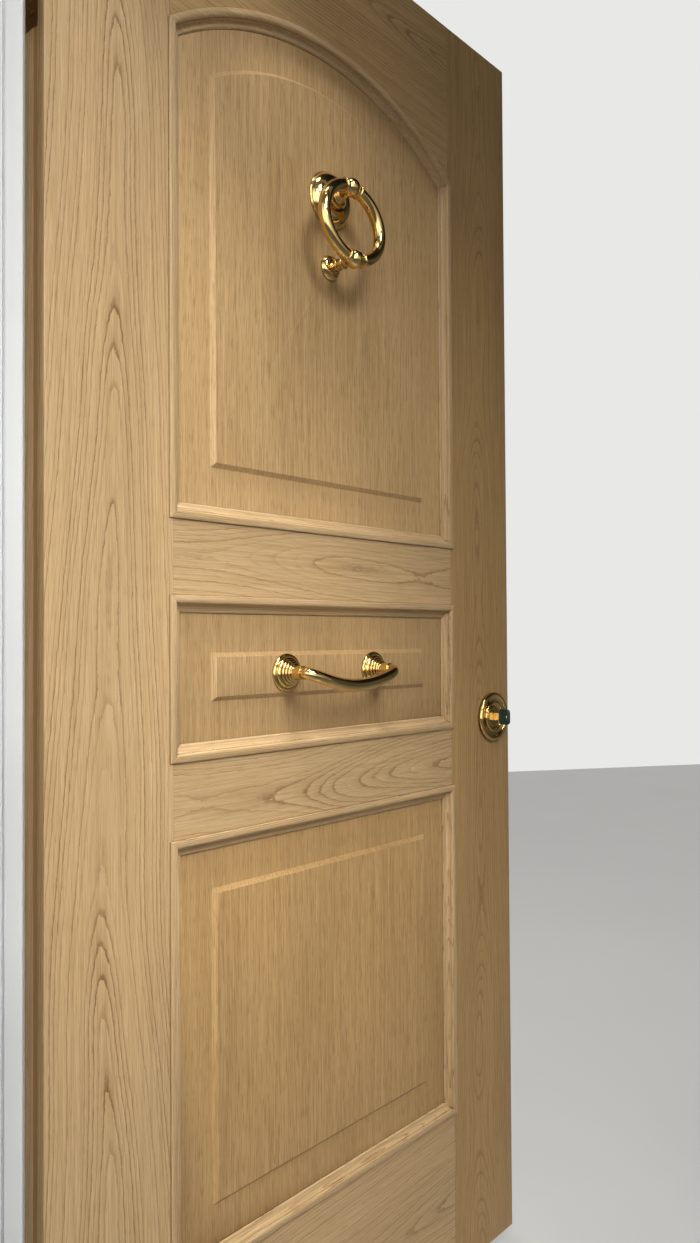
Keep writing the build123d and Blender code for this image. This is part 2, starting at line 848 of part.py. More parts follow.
def bottom_ball():
    """Depth and height of the ring's bottom ball."""
    drop = 2 * ring_half_h
    return pivot_y - drop * sin(radians(ring_lean)), pivot_z - drop * cos(radians(ring_lean))


def knocker_striker():
    """Button and beaded neck that the ring's ball falls on, with its stud in the panel."""
    ball_y, ball_z = bottom_ball()
    reach = field_y - ball_y - ring_ball_r - striker_clear
    r = striker_rose_r
    neck = striker_neck_r
    throat = (neck + striker_throat, striker_rose_h)
    lines = Polyline((0, -striker_stud_l), (striker_stud_r, -striker_stud_l), (striker_stud_r, 0), (r, 0),
                     (r, striker_rose_edge))
    lines += bow((r, striker_rose_edge), throat, -(r - neck) * striker_bell)
    lines += Line(throat, (neck, striker_rose_h))
    at = striker_rose_h
    spare = reach - at - striker_beads * (striker_bead_w + 2 * striker_bead_step)
    for _ in range(striker_beads):
        low = at + spare / (striker_beads + 1)
        foot = (striker_bead_r, low + striker_bead_step)
        head = (striker_bead_r, foot[1] + striker_bead_w)
        lines += Polyline((neck, at), (neck, low), foot)
        lines += bow(foot, head, -striker_bead_crown)
        at = head[1] + striker_bead_step
        lines += Line(head, (neck, at))
    lines += Polyline((neck, at), (neck, reach), (0, reach), (0, -striker_stud_l))
    return turned(lines, 0, ball_z, field_y)


# Pull handle

handle_abs_z = (z_middle + z_upper_mid) / 2 + handle_above_centre


def handle_rose(hand):
    """Stepped rose with a reeded stem and a plain boss."""
    edge = handle_rose_h / 2
    lines = Polyline((0, 0), (handle_rose_r, 0), (handle_rose_r, edge))
    lines += bow((handle_rose_r, edge), (handle_step_r, handle_rose_h), -handle_rose_crown)
    step = handle_rose_h + handle_step_edge
    level = handle_rose_h + handle_step_h
    lines += Line((handle_step_r, handle_rose_h), (handle_step_r, step))
    lines += bow((handle_step_r, step), (handle_reed_r, level), -handle_step_crown)
    shrink = (handle_reed_r - handle_boss_r) / handle_reeds
    for n in range(handle_reeds):
        low = level + n * handle_reed_h
        high = low + handle_reed_h
        r = handle_reed_r - n * shrink
        lines += bow((r, low), (r, high), -handle_reed_crown)
        lines += Line((r, high), (r - shrink, high))
    top = level + handle_reeds * handle_reed_h
    lines += Polyline((handle_boss_r, top), (handle_boss_r, handle_boss_h), (0, handle_boss_h), (0, 0))
    x = hand * handle_spacing / 2
    body = turned(lines, x, handle_abs_z, field_y)
    return body - rod(bolt_r, x, handle_abs_z, field_y - bolt_bite, field_y + 1)


def handle_bar():
    """Bow bar, swelling and drooping between the two bosses."""
    half = handle_spacing / 2
    base = field_y - handle_boss_h
    points = [(-half, base, handle_abs_z), (0, base - handle_bar_out, handle_abs_z - handle_bar_drop),
              (half, base, handle_abs_z)]
    fullness = handle_bar_fullness
    line = Spline(*points, tangents=[(0, -1, 0), (0, 1, 0)], tangent_scalars=[fullness, fullness])
    sections = []
    for n in range(handle_bar_sections):
        at = n / (handle_bar_sections - 1)
        r = handle_bar_end_r + (handle_bar_mid_r - handle_bar_end_r) * sin(at * pi)
        sections.append(Plane(origin=line @ at, z_dir=line % at) * Circle(r))
    return loft([s.faces()[0] for s in sections])


def through_bolts():
    """Bolts from the knocker and handle roses, each with a washer and dome nut indoors."""
    half = handle_spacing / 2
    places = [(0, knocker_abs_z), (-half, handle_abs_z), (half, handle_abs_z)]
    back_y = y_in + field_h
    nut = dome_nut_r
    flat = bolt_washer_t + dome_nut_flat
    crest = bolt_washer_t + dome_nut_h
    bolts = []
    for x, z in places:
        lines = Polyline((0, 0), (bolt_washer_r, 0), (bolt_washer_r, bolt_washer_t), (nut, bolt_washer_t),
                         (nut, flat))
        lines += cap(nut, flat, crest)
        lines += Line((0, crest), (0, 0))
        body = turned(lines, x, z, back_y, outward=False)
        bolts.append(body + rod(bolt_r, x, z, field_y - bolt_bite, back_y + 1))
    return bolts


# Lock

lock_abs_z = leaf_z + lock_z
plug_front = pull_seat_h + cylinder_flange_h
bar_end = y_in + case_d - case_wall - bar_end_gap


def cylinder_pull():
    """Round pull plate with a rolled rim and a raised ring round the cylinder."""
    hole = cylinder_r + cylinder_clear
    foot = pull_r - pull_foot_in
    crest = (pull_r - pull_rim_w / 2, pull_rim_h)
    floor_edge = (pull_r - pull_rim_w, pull_floor_h + pull_floor_step)
    ring_out = (pull_ring_r, pull_floor_h)
    ring_in = (pull_ring_r - pull_ring_w, pull_floor_h + pull_floor_step)
    seat = cylinder_flange_r + cylinder_clear
    lines = Polyline((hole, 0), (foot, 0), (foot, pull_foot_h), (pull_r, pull_edge_h))
    lines += bow((pull_r, pull_edge_h), crest, -pull_rim_outer_crown)
    lines += bow(crest, floor_edge, -pull_rim_inner_crown)
    lines += bow(floor_edge, ring_out, pull_floor_dish)
    lines += bow(ring_out, ring_in, pull_floor_h - pull_ring_h)
    lines += Polyline(ring_in, (seat, pull_seat_h + pull_floor_step), (seat, pull_seat_h),
                      (hole, pull_seat_h), (hole, 0))
    return turned(lines, lock_x, lock_abs_z, y_out)


def rim_cylinder():
    """Cylinder body with its flange clamping the pull plate."""
    bore = plug_r + plug_run_clear
    round_h = plug_front - cylinder_flange_round_h
    round_r = cylinder_flange_r - cylinder_flange_round_in
    lines = Polyline((bore, -cylinder_l), (cylinder_r, -cylinder_l), (cylinder_r, pull_seat_h),
                     (cylinder_flange_r, pull_seat_h), (cylinder_flange_r, round_h), (round_r, plug_front),
                     (bore, plug_front), (bore, -cylinder_l))
    return turned(lines, lock_x, lock_abs_z, y_out)


def cylinder_plug():
    """Plug with its keyway."""
    body = rod(plug_r, lock_x, lock_abs_z, y_out - plug_front, y_out + cylinder_l)
    half_t = key_blade_t / 2 + key_fit_clear
    half_h = key_blade_h / 2 + key_fit_clear
    end = y_out - plug_front + key_blade_l + 1
    return body - block(lock_x - half_t, lock_x + half_t, -far, end, lock_abs_z - half_h, lock_abs_z + half_h)


def connecting_bar():
    """Flat bar from the plug to the latch spindle."""
    t = bar_t / 2
    w = bar_w / 2
    return block(lock_x - t, lock_x + t, y_out + cylinder_l, bar_end, lock_abs_z - w, lock_abs_z + w)


def key_blade():
    """Brass blade, shoulder and the tang inside the bow."""
    front = y_out - plug_front
    t = key_blade_t / 2
    z = lock_abs_z
    low = z - key_blade_h / 2
    high = z + key_blade_h / 2
    shoulder = key_neck_h / 2
    neck_start = front - key_shoulder_stand
    neck_end = front - key_neck_l
    body = block(lock_x - t, lock_x + t, neck_end - key_tang_l, front + key_blade_l, low, high)
    body += block(lock_x - t, lock_x + t, neck_end, neck_start, z - shoulder, z + shoulder)
    for n, width in enumerate(key_cuts):
        y = front + key_blade_l - key_cut_pitch * (n + 1)
        body -= Pos(lock_x, y, high) * Rot(45, 0, 0) * Box(2 * key_blade_t, width, width)
    return body


def key_bow():
    """Moulded plastic bow round the tang, with a hole for a ring."""
    y1 = y_out - plug_front - key_neck_l
    y0 = y1 - key_bow_w
    z = lock_abs_z
    body = block(lock_x - key_bow_t / 2, lock_x + key_bow_t / 2, y0, y1, z - key_bow_h / 2, z + key_bow_h / 2)
    body = fillet(body.edges().filter_by(Axis.X), key_bow_corner_r)
    faces = body.faces().filter_by(Axis.X)
    body = chamfer(faces[0].edges() + faces[1].edges(), key_bow_arris)
    hole_y = y0 + key_bow_hole_in + key_bow_hole_r
    hole = Pos(lock_x, hole_y, z) * Rot(0, 90, 0) * Cylinder(key_bow_hole_r, 2 * key_bow_t)
    t = key_blade_t / 2
    h = key_blade_h / 2
    return body - hole - block(lock_x - t, lock_x + t, y1 - key_tang_l, y1, z - h, z + h)


# Rim latch

bolt_y0 = y_in + bolt_back
bolt_y1 = bolt_y0 + bolt_t
case_y = y_in + case_d
snib_z = lock_abs_z - snib_below


def latch_plate():
    """Backplate that the case screws down over."""
    gap = case_wall + latch_plate_clear
    x0 = half_leaf - case_w + gap
    x1 = half_leaf - gap
    h = case_h / 2 - gap
    body = block(x0, x1, y_in, y_in + latch_plate_t, lock_abs_z - h, lock_abs_z + h)
    return body - rod(plate_hole_r, lock_x, lock_abs_z, y_in - 1, y_in + latch_plate_t + 1)


def latch_case():
    """Cast case, open at the back, with a mouth for the bolt and a hole for the spindle."""
    x0 = half_leaf - case_w
    h = case_h / 2
    inside = case_y - case_wall
    body = block(x0, half_leaf, y_in, case_y, lock_abs_z - h, lock_abs_z + h)
    soft = [e for e in body.edges() if e.center().Y > y_in + 0.01]
    body = fillet(soft, case_corner_r)
    h -= case_wall
    body -= block(x0 + case_wall, half_leaf - case_wall, y_in - 1, inside, lock_abs_z - h, lock_abs_z + h)
    h = bolt_h / 2 + bolt_side_clear
    body -= block(half_leaf - 2 * case_wall, half_leaf + 1, bolt_y0 - bolt_side_clear,
                  bolt_y1 + bolt_side_clear, lock_abs_z - h, lock_abs_z + h)
    body -= rod(spindle_r + spindle_clear, lock_x, lock_abs_z, inside - 1, case_y + 1)
    x0 = lock_x - snib_l / 2 - snib_clear
    x1 = lock_x + snib_l / 2 + snib_travel + snib_clear
    h = snib_h / 2 + snib_clear
    return body - block(x0, x1, inside - 1, case_y + 1, snib_z - h, snib_z + h)


def latch_bolt():
    """Spring bolt with a bevelled nose and a forked tail round the spindle."""
    tail_x = lock_x - bolt_tail
    points = [(tail_x, bolt_y0), (half_leaf - bolt_bevel_l, bolt_y0), (half_leaf, bolt_y1 - bolt_nose_t),
              (half_leaf, bolt_y1), (tail_x, bolt_y1)]
    low = Plane.XY.offset(lock_abs_z - bolt_h / 2)
    body = extrude(low * make_face(Polyline(*points, close=True)), amount=bolt_h)
    fork = spindle_r + bolt_spindle_clear
    body -= block(tail_x - 1, lock_x, bolt_y0 - 1, bolt_y1 + 1, lock_abs_z - fork, lock_abs_z + fork)
    return body - rod(fork, lock_x, lock_abs_z, bolt_y0 - 1, bolt_y1 + 1)


def latch_knob():
    """Turned knob and the spindle that it carries into the case."""
    y = case_y + knob_case_gap
    widest = (knob_r, knob_l * knob_widest)
    crown = (knob_crown_r, knob_l - knob_crown_h)
    lines = Polyline((0, 0), (knob_neck_r, 0))
    lines += bow((knob_neck_r, 0), widest, knob_flare)
    lines += bow(widest, crown, -knob_round)
    lines += cap(knob_crown_r, crown[1], knob_l)
    lines += Line((0, knob_l), (0, 0))
    body = turned(lines, lock_x, lock_abs_z, y, outward=False)
    body += rod(spindle_r, lock_x, lock_abs_z, y_in + latch_plate_t + 1, y + 1)
    t = bar_t / 2 + spindle_slot_clear
    w = bar_w / 2 + spindle_slot_clear
    deep = bar_end + spindle_slot_clear
    return body - block(lock_x - t, lock_x + t, y_in, deep, lock_abs_z - w, lock_abs_z + w)


def latch_snib():
    """Sliding snib that holds the bolt back."""
    half = snib_l / 2
    h = snib_h / 2
    foot_y = case_y - case_wall - snib_clear
    inner = foot_y - snib_foot_t
    body = block(lock_x - half, lock_x + half, inner, case_y + snib_out, snib_z - h, snib_z + h)
    half += snib_foot_lap_x
    h += snib_foot_lap_z
    return body + block(lock_x - half, lock_x + half, inner, foot_y, snib_z - h, snib_z + h)


def latch_keep():
    """Box keep on the lock jamb, with a pocket for the bolt."""
    x0 = half_leaf + edge_gap + keep_stand_off
    pocket_x = half_leaf + bolt_throw + keep_end_clear
    h = case_h / 2
    body = block(x0, pocket_x + keep_wall, y_in, case_y, lock_abs_z - h, lock_abs_z + h)
    soft = [e for e in body.edges() if e.center().Y > y_in + 0.01 and e.center().X > x0 + 0.01]
    body = fillet(soft, case_corner_r)
    clear = keep_pocket_clear
    h = bolt_h / 2 + clear
    return body - block(x0 - 1, pocket_x, bolt_y0 - clear, bolt_y1 + clear, lock_abs_z - h, lock_abs_z + h)


# Holes that the ironmongery needs in the wood

def upper_panel_drilled():
    body = panel(upper)
    body -= rod(bolt_r + bolt_clear, 0, knocker_abs_z, -far, far)
    _, ball_z = bottom_ball()
    return body - rod(striker_stud_r, 0, ball_z, -far, field_y + striker_stud_l)


def middle_panel_drilled():
    body = panel(middle)
    for hand in (-1, 1):
        body -= rod(bolt_r + bolt_clear, hand * handle_spacing / 2, handle_abs_z, -far, far)
    return body


def lock_stile():
    return stile(1) - rod(cylinder_r + cylinder_clear, lock_x, lock_abs_z, -far, far)


# The whole door

def leaf_pieces():
    """Pieces of the leaf and what is fixed to it, drawn shut."""
    spans = tenon_spans()
    pieces = {
        "hinge_stile": let_in(stile(-1), -half_leaf, 1),
        "lock_stile": lock_stile(),
        "bottom_rail": rail(leaf_z, z_lower, spans[0], (lower,)),
        "lower_mid_rail": rail(z_lower_mid, z_middle, spans[1], (lower, middle)),
        "upper_mid_rail": rail(z_upper_mid, z_upper, spans[2], (middle, upper)),
        "top_rail": top_rail(spans[3]),
        "lower_panel": panel(lower),
        "middle_panel": middle_panel_drilled(),
        "upper_panel": upper_panel_drilled(),
        "edge_strips": edge_strips(),
        "foot_seal": foot_seal(),
        "hinge_screws_leaf": flap_screws(-half_leaf, 1),
        "knocker_rose": knocker_rose(),
        "knocker_ring": knocker_ring(),
        "knocker_pin": knocker_pin(),
        "knocker_striker": knocker_striker(),
        "handle_rose_left": handle_rose(-1),
        "handle_rose_right": handle_rose(1),
        "handle_bar": handle_bar(),
        "through_bolts": through_bolts(),
        "cylinder_pull": cylinder_pull(),
        "rim_cylinder": rim_cylinder(),
        "cylinder_plug": cylinder_plug(),
        "connecting_bar": connecting_bar(),
        "key_blade": key_blade(),
        "key_bow": key_bow(),
        "latch_plate": latch_plate(),
        "latch_case": latch_case(),
        "latch_bolt": latch_bolt(),
        "latch_knob": latch_knob(),
        "latch_snib": latch_snib(),
    }
    for name, opening in openings.items():
        for side in SIDES:
            pieces[f"{name}_moulding_{side}"] = moulding(opening, side)
        pieces[f"{name}_mouldings_indoor"] = [moulding(opening, side, outward=False) for side in SIDES]
    for index in range(len(hinge_heights)):
        pieces[f"hinge_leaf_flap_{index + 1}"] = hinge_flap(-half_leaf, 1, index, on_leaf=True)
    return pieces


def frame_pieces():
    """Pieces of the frame and what is fixed to it."""
    hinge_face = -half_leaf - edge_gap
    pieces = {
        "hinge_jamb": let_in(jamb("left"), hinge_face, -1),
        "lock_jamb": jamb("right"),
        "frame_head": frame_member("top"),
        "threshold": threshold(),
        "frame_seals": frame_seals(),
        "hinge_pins": hinge_pins(),
        "hinge_screws_frame": flap_screws(hinge_face, -1),
        "latch_keep": latch_keep(),
    }
    for index in range(len(hinge_heights)):
        pieces[f"hinge_frame_flap_{index + 1}"] = hinge_flap(hinge_face, -1, index, on_leaf=False)
    return pieces


def as_one(shape):
    """A group of separate solids is written as one compound."""
    if isinstance(shape, list):
        return Compound(children=[piece.solids()[0] for piece in shape])
    return shape


os.makedirs("parts", exist_ok=True)
nodes = {name: swung(shape) for name, shape in leaf_pieces().items()}
nodes.update(frame_pieces())
for node_name, node_shape in nodes.items():
    export_step(as_one(node_shape), f"parts/{node_name}.step")
print(len(nodes), "nodes written")
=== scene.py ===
"""The panelled oak front door as it looks: camera, light, and a finish on every piece.

Metres, in the row frame. Pieces of the leaf are built with the door shut and placed by SWING,
so that their own coordinates run along the leaf's width, depth and height.
"""

import bmesh
import bpy
import json
from math import asin, cos, hypot, pi, radians, sin, tau
from mathutils import Matrix, Vector


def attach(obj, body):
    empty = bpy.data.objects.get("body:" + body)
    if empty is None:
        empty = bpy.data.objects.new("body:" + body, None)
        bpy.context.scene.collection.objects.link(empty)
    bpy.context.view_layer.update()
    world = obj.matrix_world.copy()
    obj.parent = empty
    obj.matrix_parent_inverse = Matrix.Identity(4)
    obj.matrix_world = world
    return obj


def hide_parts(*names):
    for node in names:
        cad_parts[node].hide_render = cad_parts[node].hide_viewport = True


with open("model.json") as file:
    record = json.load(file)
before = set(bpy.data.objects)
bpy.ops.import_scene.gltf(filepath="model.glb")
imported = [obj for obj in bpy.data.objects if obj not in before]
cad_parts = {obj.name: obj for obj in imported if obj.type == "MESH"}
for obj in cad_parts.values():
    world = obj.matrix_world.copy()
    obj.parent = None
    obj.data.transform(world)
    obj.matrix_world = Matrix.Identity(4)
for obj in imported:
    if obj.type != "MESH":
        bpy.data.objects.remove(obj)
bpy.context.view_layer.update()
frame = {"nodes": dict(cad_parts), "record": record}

MM = 0.001
HINGE = Vector((-464.5, 40.2, 0)) * MM
OPEN = radians(35)
SWING = Matrix.Translation(HINGE) @ Matrix.Rotation(OPEN, 4, "Z") @ Matrix.Translation(-HINGE)
STILL = Matrix.Identity(4)
BODY = {node: body for body, nodes in frame["record"]["behaviour"]["bodies"].items() for node in nodes}

# Places on the shut leaf, in millimetres
FACE_Y = -10.0
FIELD_Y = -5.5
KNOCKER_Z = 1721.0
PIVOT = (0.0, -49.0, 1727.0)
HANDLE_Z = 1029.5
HANDLE_HALF = 92.0
LOCK_X = 409.0
LOCK_Z = 936.5
CASE_Y = 60.0


# Shader building

class Wire:
    """A shader value that takes part in plain arithmetic."""

    def __init__(self, finish, socket):
        self.finish = finish
        self.socket = socket

    def math(self, operation, *others):
        return self.finish.math(operation, self, *others)

    def __add__(self, other):
        return self.math("ADD", other)

    def __sub__(self, other):
        return self.math("SUBTRACT", other)

    def __mul__(self, other):
        return self.math("MULTIPLY", other)

    def __truediv__(self, other):
        return self.math("DIVIDE", other)

    def __radd__(self, other):
        return self.math("ADD", other)

    def __rmul__(self, other):
        return self.math("MULTIPLY", other)

    def __rsub__(self, other):
        return self.finish.math("SUBTRACT", other, self)

    def __neg__(self):
        return self.math("MULTIPLY", -1.0)


class Finish:
    """A node material under construction."""

    def __init__(self, name):
        self.material = bpy.data.materials.new(name)
        self.material.use_nodes = True
        self.tree = self.material.node_tree
        self.shader = self.tree.nodes["Principled BSDF"]

    def node(self, kind, settings=None, inputs=None):
        """Any node, with its settings made first and then its sockets."""
        made = self.tree.nodes.new(kind)
        for key, value in (settings or {}).items():
            setattr(made, key, value)
        for key, value in (inputs or {}).items():
            self.put(made.inputs[key], value)
        return made

    def put(self, socket, value):
        if isinstance(value, Wire):
            self.tree.links.new(value.socket, socket)
        else:
            socket.default_value = value

    def wire(self, socket):
        return Wire(self, socket)

    def math(self, operation, *values):
        made = self.node("ShaderNodeMath", {"operation": operation}, dict(enumerate(values)))
        return self.wire(made.outputs[0])

    def place(self):
        """The piece's own x, y and z."""
        coords = self.node("ShaderNodeTexCoord").outputs["Object"]
        split = self.node("ShaderNodeSeparateXYZ", inputs={0: self.wire(coords)})
        return [self.wire(out) for out in split.outputs]

    def vector(self, x, y, z):
        return self.wire(self.node("ShaderNodeCombineXYZ", inputs={0: x, 1: y, 2: z}).outputs[0])

    def noise(self, vector, scale=1.0, detail=0.0, roughness=0.5):
        made = self.node("ShaderNodeTexNoise", {"noise_dimensions": "3D"},
                         {"Vector": vector, "Scale": scale, "Detail": detail, "Roughness": roughness})
        return self.wire(made.outputs["Fac"])

    def noise_along(self, value, detail=0.0, roughness=0.5):
        made = self.node("ShaderNodeTexNoise", {"noise_dimensions": "1D"},
                         {"W": value, "Scale": 1.0, "Detail": detail, "Roughness": roughness})
        return self.wire(made.outputs["Fac"])

    def step(self, value, low, high, to_low=0.0, to_high=1.0):
        """A smooth change from to_low to to_high as value passes from low to high."""
        made = self.node("ShaderNodeMapRange", {"interpolation_type": "SMOOTHSTEP"},
                         {"Value": value, "From Min": low, "From Max": high,
                          "To Min": to_low, "To Max": to_high})
        return self.wire(made.outputs["Result"])

    def mix(self, share, a, b, blend="MIX"):
        """A colour between a and b."""
        made = self.node("ShaderNodeMix", {"data_type": "RGBA", "blend_type": blend}, {0: share, 6: a, 7: b})
        return self.wire(made.outputs[2])

    def openness(self, reach, low, high):
        """From 0 in corners tighter than reach to 1 on open faces; the mask for painted shade in corners."""
        nook = self.node("ShaderNodeAmbientOcclusion", {"samples": 6}, {"Distance": reach})
        return self.step(self.wire(nook.outputs["AO"]), low, high)

    def bump(self, height, distance, strength=1.0):
        made = self.node("ShaderNodeBump",
                         inputs={"Strength": strength, "Distance": distance, "Height": height})
        return self.wire(made.outputs["Normal"])

    def set(self, **sockets):
        """Fills the shader's sockets, with _ for a space in their names, and gives the material."""
        for key, value in sockets.items():
            self.put(self.shader.inputs[key.replace("_", " ")], value)
        return self.material


def rgb(r, g, b):
    """A colour written as it should look, 0 to 255, for a shader socket."""
    def linear(v):
        v /= 255
        return v / 12.92 if v <= 0.04045 else ((v + 0.055) / 1.055) ** 2.4
    return (linear(r), linear(g), linear(b), 1.0)


# Finishes

OAK_LIGHT = rgb(218, 188, 144)
OAK_MID = rgb(197, 165, 117)
OAK_RING = rgb(136, 101, 60)
OAK_PORE = rgb(118, 86, 50)
OAK_STREAK = rgb(176, 141, 94)
# The colour of the painted shade laid into the oak's corners and joints
OAK_PAINTED_SHADE = rgb(72, 48, 24)


def oak(name, grain, centre, seed, tip=0.085, crown=0.013, ring_gap=0.0054, drift=0.045, figure=1.0,
        fleck=0.12, tone=1.0, warmth=0.0):
    """Clear-oiled oak. Growth rings cross the face as nested arches, one every tip metres along the
    board and ring_gap apart at its sides, so a large tip gives straight grain. Corners and joints are
    darkened with painted shade."""
    f = Finish(name)
    x, y, z = f.place()
    across, along = (x - centre, z) if grain == "z" else (z - centre, -x)
    long = along + seed * 3.71
    wander = (f.noise_along(long * 1.3, detail=1.0) - 0.5) * drift
    sway = (f.noise(f.vector(across * 6.0, y * 6.0, long * 3.2), detail=2.0) - 0.5) * 0.012
    side = across + wander + sway
    width = crown * f.step(f.noise_along(long * 2.7 + 40.0), 0.25, 0.75, 0.6, 1.8)
    tooth = (f.noise(f.vector(across * 90.0, y * 90.0, long * 52.0), detail=3.0, roughness=0.7) - 0.5) * 0.62
    run = along / tip + (f.noise_along(long * 2.2 + 7.0) - 0.5) * 2.3
    rings = f.math("SQRT", side * side + width * width) / ring_gap + run + y * 230.0 + tooth
    phase = f.math("FRACT", rings)
    mark = f.noise_along(f.math("FLOOR", rings) * 7.3 + seed, detail=0.0)
    strength = f.step(mark, 0.30, 0.64, 0.15, 1.0)
    near = 1.0 - f.step(f.math("ABSOLUTE", side), 0.006, 0.024)
    line = (1.0 - f.step(phase, 0.06, 0.32)) + (0.20 + 0.16 * near) * (1.0 - f.step(phase, 0.20, 0.95))
    dash = f.noise(f.vector(across * 1000.0, y * 1000.0, long * 40.0), detail=1.0)
    fibre = f.noise(f.vector(across * 800.0, y * 800.0, long * 11.0), detail=3.0, roughness=0.62)
    streak = f.noise(f.vector(across * 190.0, y * 190.0, long * 2.2), detail=2.0)
    cloud = f.noise(f.vector(across * 9.0, y * 9.0, long * 1.4), detail=1.0)
    pores = f.step(dash, 0.56, 0.66)
    ring = line * strength * figure * f.step(dash, 0.34, 0.60, 0.70, 1.10)
    colour = f.mix(f.step(fibre, 0.32, 0.68), OAK_MID, OAK_LIGHT)
    colour = f.mix(f.step(streak, 0.40, 0.72, 0.0, 0.34), colour, OAK_STREAK)
    colour = f.mix(ring * 0.74, colour, OAK_RING)
    colour = f.mix(pores * (fleck + 0.25 * ring), colour, OAK_PORE)
    # Painted shade: corners and joints tighter than 3 mm darken towards a dark brown, standing in for contact
    # shadow.
    colour = f.mix(f.openness(0.003, 0.44, 0.78), OAK_PAINTED_SHADE, colour)
    shade = tone * f.step(cloud, 0.25, 0.75, 0.92, 1.05)
    tint = f.node("ShaderNodeCombineColor", inputs={"Red": shade * (1.0 + 0.5 * warmth), "Green": shade,
                                                    "Blue": shade * (1.0 - warmth)})
    colour = f.mix(1.0, colour, f.wire(tint.outputs[0]), "MULTIPLY")
    height = fibre * 0.5 - pores * (0.4 + 0.5 * ring) - ring * 0.25
    return f.set(Base_Color=colour, Roughness=0.52 - 0.10 * streak + 0.12 * pores,
                 Specular_IOR_Level=0.40, Normal=f.bump(height, 0.00020, 0.5))


def polished_brass(name, seed, roughness=0.085):
    """Lacquered brass with faint wipe marks, and painted shade in its tight hollows."""
    f = Finish(name)
    x, y, z = f.place()
    smear = f.noise(f.vector(x * 16.0 + seed, y * 16.0, z * 30.0), detail=3.0)
    speck = f.noise(f.vector(x * 260.0, y * 260.0, z * 260.0 + seed), detail=2.0)
    colour = f.mix(f.step(smear, 0.35, 0.70), rgb(229, 198, 134), rgb(215, 181, 114))
    # Painted shade: hollows tighter than 2.5 mm darken to a dark brown.
    colour = f.mix(f.openness(0.0025, 0.30, 0.72), rgb(96, 66, 32), colour)
    return f.set(Base_Color=colour, Metallic=1.0, Roughness=roughness + 0.05 * f.step(smear, 0.45, 0.75),
                 Normal=f.bump(speck, 0.00001, 0.5))


def dull_bronze(name):
    """Brown bronzed metal, rubbed a little."""
    f = Finish(name)
    x, y, z = f.place()
    rub = f.noise(f.vector(x * 90.0, y * 90.0, z * 30.0), detail=3.0)
    colour = f.mix(f.step(rub, 0.40, 0.65), rgb(124, 96, 62), rgb(150, 119, 78))
    return f.set(Base_Color=colour, Metallic=0.8, Roughness=0.42 + 0.15 * rub,
                 Normal=f.bump(rub, 0.00003, 0.5))


def satin_paint(name, seed, grain):
    """White satin paint laid off along the timber."""
    f = Finish(name)
    x, y, z = f.place()
    a, b, c = (x * 420.0, y * 420.0, z * 5.0) if grain == "z" else (x * 5.0, y * 420.0, z * 420.0)
    brush = f.noise(f.vector(a + seed, b, c), detail=2.0)
    cloud = f.noise(f.vector(x * 5.0, y * 5.0, z * 5.0 + seed), detail=2.0)
    colour = f.mix(f.step(cloud, 0.3, 0.7), rgb(222, 226, 229), rgb(216, 219, 221))
    return f.set(Base_Color=colour, Roughness=0.36 + 0.10 * brush, Normal=f.bump(brush, 0.00006, 0.6))


def strip_plastic(name):
    """Dull brown extruded strip."""
    f = Finish(name)
    x, y, z = f.place()
    drawn = f.noise(f.vector(x * 900.0, y * 900.0, z * 6.0), detail=2.0)
    colour = f.mix(drawn, rgb(178, 130, 72), rgb(158, 112, 58))
    return f.set(Base_Color=colour, Roughness=0.55 + 0.15 * drawn, Normal=f.bump(drawn, 0.00005, 0.5))


def rubber(name, light, dark):
    """Matt extruded rubber."""
    f = Finish(name)
    x, y, z = f.place()
    skin = f.noise(f.vector(x * 700.0, y * 700.0, z * 700.0), detail=2.0)
    return f.set(Base_Color=f.mix(skin, light, dark), Roughness=0.70 + 0.15 * skin,
                 Normal=f.bump(skin, 0.00005, 0.6))


def enamel(name):
    """Dark bronze enamel on a cast case."""
    f = Finish(name)
    x, y, z = f.place()
    fleck = f.noise(f.vector(x * 850.0, y * 850.0, z * 850.0), detail=2.0)
    cloud = f.noise(f.vector(x * 40.0, y * 40.0, z * 40.0), detail=2.0)
    colour = f.mix(f.step(fleck, 0.52, 0.72), rgb(88, 70, 46), rgb(128, 104, 66))
    return f.set(Base_Color=colour, Metallic=0.35, Roughness=0.34 + 0.14 * cloud,
                 Normal=f.bump(fleck, 0.00004, 0.7))


def moulded_plastic(name, light, dark):
    """Glossy moulded plastic with a faint orange peel."""
    f = Finish(name)
    x, y, z = f.place()
    peel = f.noise(f.vector(x * 420.0, y * 420.0, z * 420.0), detail=1.0)
    cloud = f.noise(f.vector(x * 90.0, y * 90.0, z * 90.0), detail=1.0)
    return f.set(Base_Color=f.mix(cloud, light, dark), Roughness=0.28 + 0.10 * cloud,
                 Normal=f.bump(peel, 0.00003, 0.6))


def plain_steel(name):
    """Drawn steel."""
    f = Finish(name)
    x, y, z = f.place()
    drawn = f.noise(f.vector(x * 60.0, y * 60.0, z * 1500.0), detail=2.0)
    return f.set(Base_Color=f.mix(drawn, rgb(176, 176, 174), rgb(150, 149, 146)), Metallic=1.0,
                 Roughness=0.30 + 0.15 * drawn, Normal=f.bump(drawn, 0.00002, 0.6))


BRASS = polished_brass("brass_polished", 1.0)
BRASS_SMALL = polished_brass("brass_fittings", 5.0, roughness=0.16)
HINGE_METAL = dull_bronze("hinge_bronze")
STRIP = strip_plastic("strip_brown")
SEAL = rubber("seal_grey", rgb(150, 148, 142), rgb(122, 120, 115))
DARK_SEAL = rubber("seal_dark", rgb(56, 54, 52), rgb(40, 39, 38))
ENAMEL = enamel("latch_enamel")
TEAL = moulded_plastic("key_teal", rgb(18, 66, 64), rgb(12, 48, 49))
STEEL = plain_steel("steel_plain")


# Mesh building

